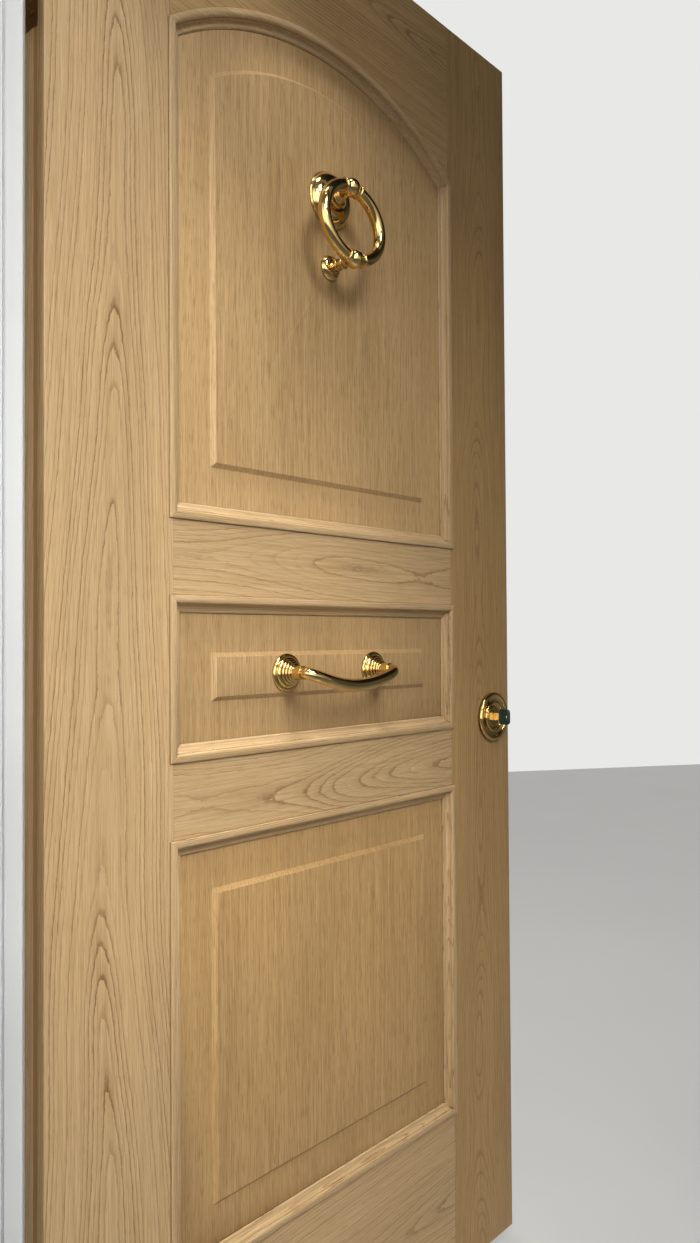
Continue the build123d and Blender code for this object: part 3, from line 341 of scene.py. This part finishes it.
def finished(obj, body, material, replaces=(), place=STILL, sharp=38.0):
    """Shades a new piece, gives it its finish and puts it on its body."""
    mesh = obj.data
    mesh.polygons.foreach_set("use_smooth", [True] * len(mesh.polygons))
    mesh.set_sharp_from_angle(angle=radians(sharp))
    mesh.materials.clear()
    mesh.materials.append(material)
    bpy.context.scene.collection.objects.link(obj)
    obj.matrix_world = place
    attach(obj, body)
    if replaces:
        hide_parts(*replaces)
    return obj


def from_bmesh(name, bm):
    """An object from a mesh under construction, with its faces turned outwards."""
    bmesh.ops.recalc_face_normals(bm, faces=bm.faces)
    mesh = bpy.data.meshes.new(name)
    bm.to_mesh(mesh)
    bm.free()
    return bpy.data.objects.new(name, mesh)


def refined(node, material, bevel, place=SWING, segments=2, sharp=38.0, limit=28.0):
    """A node's own shape with its facets shaded smooth and its edges eased."""
    bm = bmesh.new()
    bm.from_mesh(frame["nodes"][node].data)
    bmesh.ops.remove_doubles(bm, verts=bm.verts, dist=0.00001)
    bmesh.ops.dissolve_limit(bm, angle_limit=radians(0.2), verts=bm.verts, edges=bm.edges)
    bm.transform(place.inverted())
    obj = from_bmesh("fine_" + node, bm)
    finished(obj, BODY[node], material, (node,), place, sharp)
    if bevel:
        ease = obj.modifiers.new("ease", "BEVEL")
        ease.width = bevel * MM
        ease.segments = segments
        ease.limit_method = "ANGLE"
        ease.angle_limit = radians(limit)
        ease.harden_normals = True
    return obj


def softened(points, radius, steps=4):
    """A line of (radius, height) points with its corners rounded a little."""
    line = [points[0]]
    for before, corner, after in zip(points, points[1:], points[2:]):
        a, b, c = Vector(before), Vector(corner), Vector(after)
        into, out = (a - b), (c - b)
        reach = min(radius, into.length * 0.45, out.length * 0.45)
        if reach < 1e-4 or into.angle(out, pi) > radians(165):
            line.append(corner)
            continue
        start, end = b + into.normalized() * reach, b + out.normalized() * reach
        for n in range(steps + 1):
            t = n / steps
            line.append(tuple(start * (1 - t) ** 2 + b * 2 * t * (1 - t) + end * t ** 2))
    line.append(points[-1])
    return line


def bow(p, q, sag, steps=10):
    """Points on an arc from p to q that stands off its chord by sag, to the left of the way it runs."""
    chord = Vector(q) - Vector(p)
    length = chord.length
    side = Vector((-chord.y, chord.x)) / length
    r = (length ** 2 / 4 + sag ** 2) / (2 * abs(sag))
    half = asin(min(1.0, length / 2 / r))
    if abs(sag) > length / 2:
        half = pi - half
    centre = (Vector(p) + Vector(q)) / 2 + side * (sag - r * (1 if sag > 0 else -1))
    start = Vector(p) - centre
    turn = -2 * half if sag > 0 else 2 * half
    return [tuple(centre + Matrix.Rotation(turn * n / steps, 2) @ start) for n in range(steps + 1)]


def chain(*runs):
    """Joins points and lists of points into one line, without repeats."""
    line = []
    for run in runs:
        for point in (run if isinstance(run, list) else [run]):
            if not line or hypot(point[0] - line[-1][0], point[1] - line[-1][1]) > 1e-5:
                line.append(point)
    return line


def lathe(name, line, centre, steps=112, out=-1.0):
    """Turns a line of (radius, height) round an axis square to the leaf, through centre.
    All are in millimetres."""
    bm = bmesh.new()
    rows = []
    for r, h in line:
        y = centre[1] + out * h
        if r < 1e-6:
            rows.append([bm.verts.new((centre[0] * MM, y * MM, centre[2] * MM))])
            continue
        rows.append([bm.verts.new(((centre[0] + r * cos(tau * n / steps)) * MM, y * MM,
                                   (centre[2] + r * sin(tau * n / steps)) * MM)) for n in range(steps)])
    for low, high in zip(rows, rows[1:]):
        for n in range(steps):
            m = (n + 1) % steps
            corners = [low[n % len(low)], low[m % len(low)], high[m % len(high)], high[n % len(high)]]
            unique = list(dict.fromkeys(corners))
            if len(unique) > 2:
                bm.faces.new(unique)
    return from_bmesh(name, bm)


def tube(name, path, radii, tilt=STILL, steps=48, closed=False):
    """A round bar along points, in millimetres, with its own radius at each."""
    bm = bmesh.new()
    count = len(path)
    rows = []
    side = None
    for n, (point, r) in enumerate(zip(path, radii)):
        before = path[(n - 1) % count] if closed or n else path[n]
        after = path[(n + 1) % count] if closed or n < count - 1 else path[n]
        ahead = (Vector(after) - Vector(before)).normalized()
        if side is None:
            side = ahead.orthogonal()
        side = (side - ahead * side.dot(ahead)).normalized()
        up = ahead.cross(side)
        spokes = [side * cos(tau * k / steps) + up * sin(tau * k / steps) for k in range(steps)]
        rows.append([bm.verts.new((tilt @ (Vector(point) + spoke * r)) * MM) for spoke in spokes])
    for low, high in zip(rows, rows[1:]):
        for k in range(steps):
            m = (k + 1) % steps
            bm.faces.new((low[k], low[m], high[m], high[k]))
    if closed:
        low, high = rows[-1], rows[0]
        turn = min(range(steps), key=lambda s: (low[0].co - high[s].co).length)
        for k in range(steps):
            m = (k + 1) % steps
            bm.faces.new((low[k], low[m], high[(m + turn) % steps], high[(k + turn) % steps]))
    else:
        bm.faces.new(rows[0])
        bm.faces.new(rows[-1])
    return from_bmesh(name, bm)


def joined(name, *objects):
    """Several meshes as one object."""
    bm = bmesh.new()
    for obj in objects:
        bm.from_mesh(obj.data)
        bpy.data.objects.remove(obj)
    return from_bmesh(name, bm)


def carved(obj, *cutters):
    """A mesh with other meshes cut out of it."""
    scene = bpy.context.scene
    for piece in (obj, *cutters):
        scene.collection.objects.link(piece)
    for cutter in cutters:
        cut = obj.modifiers.new("cut", "BOOLEAN")
        cut.object = cutter
        cut.solver = "EXACT"
    shape = obj.evaluated_get(bpy.context.evaluated_depsgraph_get())
    mesh = bpy.data.meshes.new_from_object(shape)
    name = obj.name
    for piece in (obj, *cutters):
        bpy.data.objects.remove(piece)
    return bpy.data.objects.new(name, mesh)


def brick(low, high, turn=STILL):
    """A block between two corners, in millimetres, turned if need be, for cutting."""
    bm = bmesh.new()
    bmesh.ops.create_cube(bm, size=1.0)
    middle = (Vector(low) + Vector(high)) / 2
    size = Vector(high) - Vector(low)
    bm.transform(Matrix.Scale(MM, 4) @ turn @ Matrix.Translation(middle) @ Matrix.Diagonal((*size, 1.0)))
    return from_bmesh("brick", bm)


# The leaf's timber

STRAIGHT_GRAIN = {"tip": 0.90, "fleck": 0.34, "ring_gap": 0.0031}
MOULDING_GRAIN = {"tip": 0.60, "tone": 1.04, "ring_gap": 0.0024}


def timber(node, grain, centre, seed, **look):
    """A board in oak. grain is the axis it runs along, and centre is where its figure's middle
    lies across it, in millimetres."""
    refined(node, oak("oak_" + node, grain, centre * MM, seed, **look), 0.45)


timber("hinge_stile", "z", -378, 3)
timber("lock_stile", "z", 372, 11, crown=0.020, figure=0.48, tone=0.82, warmth=0.18)
timber("bottom_rail", "x", 140, 5, tip=0.085, tone=1.01, figure=0.66)
timber("lower_mid_rail", "x", 872, 8, tip=0.075, crown=0.017, tone=1.01, figure=0.66)
timber("upper_mid_rail", "x", 1176, 14, tip=0.075, crown=0.017, tone=1.01, figure=0.66)
timber("top_rail", "x", 2060, 21, tip=0.100, figure=0.7, tone=0.86, warmth=0.12)
timber("lower_panel", "z", -420, 31, figure=0.34, tone=0.83, warmth=0.17, **STRAIGHT_GRAIN)
timber("middle_panel", "z", 400, 37, figure=0.34, tone=0.81, warmth=0.10, **STRAIGHT_GRAIN)
timber("upper_panel", "z", 390, 43, figure=0.40, tone=0.99, warmth=0.09, **STRAIGHT_GRAIN)
seed = 50
for row in ("lower", "middle", "upper"):
    for side in ("left", "right", "bottom", "top"):
        seed += 3
        grain, centre = ("z", 150) if side in ("left", "right") else ("x", 2400)
        figure = 0.30 if (row, side) == ("upper", "top") else 0.75
        timber(f"{row}_moulding_{side}", grain, centre, seed, figure=figure, warmth=-0.03, **MOULDING_GRAIN)


def indoor_mouldings(row, seed):
    """One material for the upright lengths and one for the level ones."""
    node = f"{row}_mouldings_indoor"
    upright = oak(f"oak_{row}_indoor_upright", "z", 0.15, seed, figure=0.75, **MOULDING_GRAIN)
    level = oak(f"oak_{row}_indoor_level", "x", 2.4, seed + 1, figure=0.75, **MOULDING_GRAIN)
    obj = refined(node, upright, 0.0)
    obj.data.materials.append(level)
    bm = bmesh.new()
    bm.from_mesh(obj.data)
    left = set(bm.faces)
    while left:
        island = {left.pop()}
        edge = set(island)
        while edge:
            edge = {near for face in edge for e in face.edges for near in e.link_faces} & left
            left -= edge
            island |= edge
        points = [v.co for face in island for v in face.verts]
        wide = max(p.x for p in points) - min(p.x for p in points)
        high = max(p.z for p in points) - min(p.z for p in points)
        for face in island:
            face.material_index = 1 if wide > high else 0
    bm.to_mesh(obj.data)
    bm.free()


for n, row in enumerate(("lower", "middle", "upper")):
    indoor_mouldings(row, 120 + 5 * n)

refined("edge_strips", STRIP, 0.0)
refined("foot_seal", DARK_SEAL, 0.0)

# The frame
for node, grain in (("hinge_jamb", "z"), ("lock_jamb", "z"), ("frame_head", "x"), ("threshold", "x")):
    refined(node, satin_paint("paint_" + node, len(node), grain), 0.7, place=STILL)
refined("frame_seals", SEAL, 0.0, place=STILL)

# Hinges, indoor fittings and the key
for n in (1, 2, 3):
    refined(f"hinge_leaf_flap_{n}", HINGE_METAL, 0.25)
    refined(f"hinge_frame_flap_{n}", HINGE_METAL, 0.25, place=STILL)
refined("hinge_pins", HINGE_METAL, 0.0, place=STILL)
refined("hinge_screws_leaf", HINGE_METAL, 0.0)
refined("hinge_screws_frame", HINGE_METAL, 0.0, place=STILL)
refined("through_bolts", BRASS_SMALL, 0.15)
refined("latch_plate", ENAMEL, 0.0)
refined("latch_case", ENAMEL, 0.3, place=STILL)
refined("latch_keep", ENAMEL, 0.3, place=STILL)
refined("latch_bolt", BRASS_SMALL, 0.4)
refined("latch_knob", BRASS, 0.2)
refined("latch_snib", BRASS_SMALL, 0.4)
refined("connecting_bar", STEEL, 0.1)
refined("cylinder_plug", BRASS_SMALL, 0.15)
refined("key_blade", BRASS_SMALL, 0.12)
refined("key_bow", TEAL, 0.5)
refined("knocker_pin", BRASS, 0.2)


# Knocker

RING_WIDE, RING_HIGH, RING_BALL, RING_LEAN = 59.0, 53.0, 13.5, radians(3.2)


def knocker_rose():
    """Bell-shaped rose, two beads on its neck, and the flat tongue that carries the ring."""
    bell = bow((40.2, 3.6), (15.0, 14.0), -5.6, 20)
    line = chain((0, 0), softened([(39.5, 0), (41.5, 0), (41.5, 1.8), (40.2, 2.6), (40.2, 3.6)], 0.5), bell,
                 softened([(15.0, 14.0), (14.6, 16.4), (13.2, 17.0), (10.6, 17.2)], 0.8),
                 bow((9.0, 17.4), (9.0, 21.0), -1.0), bow((8.4, 21.4), (8.4, 24.6), -0.9),
                 softened([(8.0, 24.8), (8.0, 27.0), (6.4, 28.0), (0, 28.0)], 0.8))
    body = lathe("knocker_rose_turned", line, (0, FIELD_Y, KNOCKER_Z))
    start_y, end_y, end_z, half, r = FIELD_Y - 25.0, PIVOT[1], PIVOT[2], 3.0, 6.5
    ahead = Vector((end_y - start_y, end_z - KNOCKER_Z)).normalized()
    bm = bmesh.new()
    outline = []
    for n in range(25):
        turn = Matrix.Rotation(-pi / 2 + pi * n / 24, 2)
        outline.append(Vector((end_y, end_z)) + (turn @ ahead) * r)
    outline += [Vector((start_y, KNOCKER_Z)) + (Matrix.Rotation(s * pi / 2, 2) @ ahead) * r for s in (1, -1)]
    sides = [[bm.verts.new((x * MM, p.x * MM, p.y * MM)) for p in outline] for x in (-half, half)]
    bm.faces.new(sides[0])
    bm.faces.new(sides[1][::-1])
    for n in range(len(outline)):
        m = (n + 1) % len(outline)
        bm.faces.new((sides[0][n], sides[1][n], sides[1][m], sides[0][m]))
    edges = [e for e in bm.edges if abs(e.verts[0].co.x - e.verts[1].co.x) < 1e-7]
    bmesh.ops.bevel(bm, geom=edges, offset=0.6 * MM, segments=2, affect="EDGES", profile=0.5)
    tongue = from_bmesh("tongue", bm)
    finished(joined("knocker_rose_fine", body, tongue), "leaf", BRASS, ("knocker_rose",), SWING)


def ball(name, centre, r, steps=64):
    """A turned ball, in millimetres."""
    line = [(r * sin(pi * n / 40), -r * cos(pi * n / 40)) for n in range(41)]
    line[0], line[-1] = (0.0, -r), (0.0, r)
    return lathe(name, line, centre, steps)


def knocker_ring():
    """Oval ring, a ball at top and bottom, a beaded collar either side of each."""
    wide, high, thick, ball_r = RING_WIDE, RING_HIGH, 9.2, RING_BALL
    hung = Matrix.Translation(PIVOT) @ Matrix.Rotation(-RING_LEAN, 4, "X")
    tilt = hung @ Matrix.Translation((0, 0, -high))

    def on_ring(angle):
        return Vector((wide * sin(angle), 0, high * cos(angle)))

    count = 160
    oval = [on_ring(tau * n / count) for n in range(count)]
    parts = [tube("ring_tube", oval, [thick] * count, tilt, 56, True)]
    for centre in (Vector((0, 0, high)), Vector((0, 0, -high))):
        parts.append(ball("ring_ball", tilt @ centre, ball_r))
    off = (ball_r + 2.0) / wide
    for angle in (off, -off, pi - off, pi + off):
        middle = on_ring(angle)
        ahead = (on_ring(angle + 0.01) - on_ring(angle - 0.01)).normalized()
        side = Vector((0, 1, 0))
        up = ahead.cross(side)
        circle = [middle + (side * cos(tau * k / 64) + up * sin(tau * k / 64)) * thick for k in range(64)]
        parts.append(tube("ring_collar", circle, [1.8] * 64, tilt, 20, True))
    scene = bpy.context.scene
    for part in parts:
        scene.collection.objects.link(part)
    body = parts[0]
    for part in parts[1:]:
        merge = body.modifiers.new("merge", "BOOLEAN")
        merge.operation = "UNION"
        merge.object = part
        merge.solver = "EXACT"
    half, eye_r, beyond, back_lean = 3.35, 6.85, 30, radians(18)
    leaning = Matrix.Translation(PIVOT) @ Matrix.Rotation(-back_lean, 4, "X")
    back = brick((-half, 0, -ball_r - 1), (half, beyond, beyond), leaning)
    crown = brick((-half, -eye_r, 0), (half, beyond, beyond), hung)
    eye_ends = [Vector((x, PIVOT[1], PIVOT[2])) for x in (-half, half)]
    eye = tube("eye", eye_ends, [eye_r] * 2)
    cutters = (back, crown, eye)
    for cutter in cutters:
        scene.collection.objects.link(cutter)
        cut = body.modifiers.new("cut", "BOOLEAN")
        cut.object = cutter
        cut.solver = "EXACT"
    shape = body.evaluated_get(bpy.context.evaluated_depsgraph_get())
    mesh = bpy.data.meshes.new_from_object(shape)
    for part in (*parts, *cutters):
        bpy.data.objects.remove(part)
    finished(bpy.data.objects.new("knocker_ring_fine", mesh), "ring", BRASS, ("knocker_ring",), SWING, 30)


def knocker_striker():
    """Button rose and a double-beaded neck up to the ring's lower ball."""
    ball_y = PIVOT[1] - 2 * RING_HIGH * sin(RING_LEAN)
    ball_z = PIVOT[2] - 2 * RING_HIGH * cos(RING_LEAN)
    reach = FIELD_Y - ball_y - RING_BALL - 0.35
    spare = (reach - 9.0 - 2 * 4.2) / 3
    line = chain((0, 0), softened([(17.5, 0), (18.5, 0), (18.5, 2.0)], 0.5),
                 bow((18.3, 2.3), (7.0, 9.0), -2.5, 16), (6.4, 9.4))
    at = 9.4
    for _ in range(2):
        low = at + spare
        line = chain(line, (6.0, at + 0.3), (6.0, low),
                     bow((7.6, low + 0.3), (7.6, low + 3.7), -1.2), (6.0, low + 4.1))
        at = low + 4.1
    line = chain(line, softened([(6.0, at + 0.2), (6.0, reach), (0, reach)], 0.5))
    body = lathe("knocker_striker_fine", line, (0, FIELD_Y, ball_z), 80)
    stud = tube("stud", [Vector((0, FIELD_Y - 1, ball_z)), Vector((0, FIELD_Y + 17, ball_z))], [2.4, 2.4])
    finished(joined("knocker_striker_fine", body, stud), "leaf", BRASS, ("knocker_striker",), SWING)


# Pull handle

def handle_rose(name, x, node):
    """Rose with three steps, a reeded stem and a plain boss."""
    line = chain((0, 0), softened([(25.5, 0), (26.5, 0), (26.5, 1.9)], 0.4),
                 bow((26.4, 2.1), (22.2, 4.0), -0.8), softened([(22.0, 4.0), (22.0, 5.0)], 0.2),
                 bow((21.9, 5.2), (17.2, 8.4), -1.0))
    low = 8.5
    for r, nose in ((16.9, 1.1), (14.4, 1.1), (11.9, 1.1)):
        line = chain(line, (r - 0.2, low), bow((r, low + 0.15), (r, low + 3.15), -nose), (r - 0.2, low + 3.3))
        low += 3.4
    line = chain(line, softened([(9.9, low), (9.4, low + 0.6), (9.4, 34.0), (0, 34.0)], 0.5))
    finished(lathe(name, line, (x, FIELD_Y, HANDLE_Z), 96), "leaf", BRASS, (node,), SWING)


def handle_bar():
    """Bow bar that leaves each boss square and droops to the middle."""
    start = Vector((-HANDLE_HALF, FIELD_Y - 34.0, HANDLE_Z))
    middle = Vector((0, FIELD_Y - 49.0, HANDLE_Z - 20.0))
    pull_out = Vector((0, -71.3, 0))
    pull_along = Vector((138.1, 0, 0))
    half = []
    for n in range(49):
        t = n / 48
        half.append(start * (2 * t ** 3 - 3 * t ** 2 + 1) + pull_out * (t ** 3 - 2 * t ** 2 + t)
                    + middle * (3 * t ** 2 - 2 * t ** 3) + pull_along * (t ** 3 - t ** 2))
    path = half + [Vector((-p.x, p.y, p.z)) for p in half[-2::-1]]
    run = [0.0]
    for a, b in zip(path, path[1:]):
        run.append(run[-1] + (b - a).length)
    radii = [8.0 + 1.6 * sin(pi * s / run[-1]) for s in run]
    finished(tube("handle_bar_fine", path, radii, steps=64), "leaf", BRASS, ("handle_bar",), SWING)


# Cylinder pull

def cylinder_pull():
    """Round pull with a rolled rim, a dished floor and a raised ring round the cylinder."""
    line = chain((16.4, 0), softened([(16.4, 0), (41.0, 0), (41.0, 1.5), (43.0, 3.8)], 0.5),
                 bow((43.0, 4.0), (38.5, 8.5), -1.3, 12), bow((38.5, 8.5), (34.0, 5.0), -1.1, 12),
                 bow((34.0, 5.0), (25.8, 4.0), 0.9, 12), bow((25.8, 4.1), (22.6, 5.0), -3.5, 16),
                 softened([(22.6, 5.0), (19.0, 3.6), (19.0, 2.6), (16.4, 2.6), (16.4, 0)], 0.25))
    place = (LOCK_X, FACE_Y, LOCK_Z)
    pull = lathe("cylinder_pull_fine", line, place, 128)
    finished(pull, "leaf", BRASS, ("cylinder_pull",), SWING)
    bore, back = 6.55, -30
    line = chain((bore, back), softened([(bore, back), (16.0, back), (16.0, 2.6), (18.6, 2.6), (18.6, 4.6),
                                         (17.1, 5.6), (7.0, 5.6), (bore, 5.2)], 0.35), (bore, back))
    cylinder = lathe("rim_cylinder_fine", line, place, 96)
    finished(cylinder, "leaf", BRASS_SMALL, ("rim_cylinder",), SWING)


def case_screw(name, x, z, body, place):
    """Slotted raised head on the latch case or its keep."""
    line = chain((0, -0.2), softened([(2.9, -0.2), (2.9, 0.5)], 0.1), bow((2.9, 0.5), (0, 1.4), -0.25, 8))
    head = lathe(name, line, (x, CASE_Y, z), 40, out=1.0)
    slot = brick((x - 3.2, CASE_Y + 0.6, z - 0.35), (x + 3.2, CASE_Y + 2.4, z + 0.35))
    finished(carved(head, slot), body, BRASS_SMALL, (), place)


knocker_rose()
knocker_ring()
knocker_striker()
handle_rose("handle_rose_left_fine", -HANDLE_HALF, "handle_rose_left")
handle_rose("handle_rose_right_fine", HANDLE_HALF, "handle_rose_right")
handle_bar()
cylinder_pull()
for n, (x, z) in enumerate(((379, 961), (379, 912), (455, 912))):
    case_screw(f"case_screw_{n + 1}", x, z, "leaf", SWING)
for n, z in enumerate((960, 913)):
    case_screw(f"keep_screw_{n + 1}", 477, z, "frame", STILL)


# Camera, floor and light

WARM = (1.0, 0.97, 0.93)

# The camera's place in metres, and which way its picture's right and top point
CAMERA_PLACE = (-0.33648, -1.07278, 1.07596)
CAMERA_RIGHT = (0.97494, -0.22241, -0.0058)
CAMERA_UP = (0.00158, -0.01912, 0.99982)
LENS = 27.14
SENSOR_WIDTH = 36.0


def camera():
    """Stands outdoors at the photograph's viewpoint, beside the hinge side."""
    data = bpy.data.cameras.new("camera")
    data.lens = LENS
    data.sensor_width = SENSOR_WIDTH
    obj = bpy.data.objects.new("camera", data)
    bpy.context.scene.collection.objects.link(obj)
    right = Vector(CAMERA_RIGHT)
    back = right.cross(Vector(CAMERA_UP)).normalized()
    up = back.cross(right).normalized()
    turn = Matrix((right.normalized(), up, back)).transposed().to_4x4()
    obj.matrix_world = Matrix.Translation(CAMERA_PLACE) @ turn
    bpy.context.scene.camera = obj


def softbox(name, place, target, wide, high, power, colour=(1, 1, 1), spread=pi):
    """A soft light at place, in metres, that faces target."""
    data = bpy.data.lights.new(name, "AREA")
    data.spread = spread
    data.shape = "RECTANGLE"
    data.size, data.size_y = wide, high
    data.energy = power
    data.color = colour
    obj = bpy.data.objects.new(name, data)
    obj.location = place
    obj.rotation_euler = (Vector(target) - Vector(place)).to_track_quat("-Z", "Y").to_euler()
    bpy.context.scene.collection.objects.link(obj)


def floor():
    """Pale ground, lifted a little where the camera sees it."""
    bm = bmesh.new()
    bmesh.ops.create_grid(bm, x_segments=4, y_segments=4, size=6.0)
    obj = from_bmesh("floor", bm)
    f = Finish("floor_pale")
    x, y, z = f.place()
    cloud = f.noise(f.vector(x * 2.0, y * 2.0, z), detail=2.0)
    pale = f.mix(cloud, rgb(226, 225, 222), rgb(220, 219, 216))
    material = f.set(Base_Color=pale, Roughness=0.75 + 0.1 * cloud)
    glow = f.node("ShaderNodeEmission", inputs={"Color": pale, "Strength": 0.85})
    seen = f.wire(f.node("ShaderNodeLightPath").outputs["Is Camera Ray"])
    both = f.node("ShaderNodeMixShader", inputs={0: seen * 0.62})
    f.tree.links.new(f.shader.outputs[0], both.inputs[1])
    f.tree.links.new(glow.outputs[0], both.inputs[2])
    f.tree.links.new(both.outputs[0], f.tree.nodes["Material Output"].inputs["Surface"])
    obj.data.materials.append(material)
    bpy.context.scene.collection.objects.link(obj)


def sky():
    """Pale behind the object, and shaded from light to dark for what it reflects."""
    world = bpy.data.worlds.new("studio")
    bpy.context.scene.world = world
    world.use_nodes = True
    tree = world.node_tree
    tree.nodes.clear()

    def add(kind, **settings):
        made = tree.nodes.new(kind)
        for key, value in settings.items():
            setattr(made, key, value)
        return made

    out = add("ShaderNodeOutputWorld")
    paths = add("ShaderNodeLightPath")
    coords = add("ShaderNodeTexCoord")
    split = add("ShaderNodeSeparateXYZ")
    tree.links.new(coords.outputs["Generated"], split.inputs[0])

    def ramp(axis, low, high, to_low, to_high):
        made = add("ShaderNodeMapRange", interpolation_type="SMOOTHSTEP")
        tree.links.new(split.outputs[axis], made.inputs["Value"])
        for key, value in {"From Min": low, "From Max": high, "To Min": to_low, "To Max": to_high}.items():
            made.inputs[key].default_value = value
        return made.outputs["Result"]

    def times(a, b):
        made = add("ShaderNodeMath", operation="MULTIPLY")
        tree.links.new(a, made.inputs[0])
        tree.links.new(b, made.inputs[1])
        return made.outputs[0]

    band = times(ramp(2, -0.30, 0.00, 0.18, 1.0), ramp(2, 0.16, 0.55, 1.0, 0.13))
    side = times(ramp(1, -0.95, -0.10, 2.2, 0.26), ramp(0, 0.00, 0.60, 1.0, 0.35))
    bright = times(band, side)
    room = add("ShaderNodeBackground")
    room.inputs["Color"].default_value = (0.99, 0.99, 0.93, 1.0)
    tree.links.new(bright, room.inputs["Strength"])
    fill = add("ShaderNodeBackground")
    fill.inputs["Color"].default_value = (1.0, 0.98, 0.95, 1.0)
    fill.inputs["Strength"].default_value = 0.10
    back = add("ShaderNodeBackground")
    back.inputs["Color"].default_value = rgb(232, 232, 230)
    back.inputs["Strength"].default_value = 1.0
    shiny = add("ShaderNodeMixShader")
    tree.links.new(paths.outputs["Is Glossy Ray"], shiny.inputs[0])
    tree.links.new(fill.outputs[0], shiny.inputs[1])
    tree.links.new(room.outputs[0], shiny.inputs[2])
    seen = add("ShaderNodeMixShader")
    tree.links.new(paths.outputs["Is Camera Ray"], seen.inputs[0])
    tree.links.new(shiny.outputs[0], seen.inputs[1])
    tree.links.new(back.outputs[0], seen.inputs[2])
    tree.links.new(seen.outputs[0], out.inputs[0])


camera()
floor()
sky()
softbox("key", (0.38, -1.12, 2.70), (-0.32, 0.13, 1.25), 0.5, 0.5, 1.35, WARM, radians(52))
softbox("key_low", (0.42, -1.20, 2.05), (-0.20, 0.20, 0.55), 0.5, 0.5, 1.70, WARM, radians(56))
softbox("front_high", (-0.30, -1.40, 2.45), (-0.36, 0.10, 1.35), 0.4, 0.5, 1.1, WARM, radians(85))
softbox("front_low", (-0.30, -1.50, 1.55), (-0.36, 0.10, 0.55), 0.4, 0.6, 1.8, WARM, radians(85))
softbox("hinge_side", (-0.95, -0.80, 1.75), (-0.45, 0.05, 1.10), 0.5, 1.5, 0.75, WARM, radians(120))
softbox("above", (-0.35, -1.15, 4.60), (-0.38, 0.10, 0.90), 0.7, 0.7, 1.7, WARM, radians(27))
softbox("around", (-0.25, -0.80, 4.60), (-0.15, 0.15, 1.10), 1.0, 0.7, 14, WARM)
softbox("indoors", (-0.70, 2.20, 2.20), (0.00, 0.20, 1.00), 1.6, 1.2, 30)
bpy.context.scene.view_settings.view_transform = "Standard"
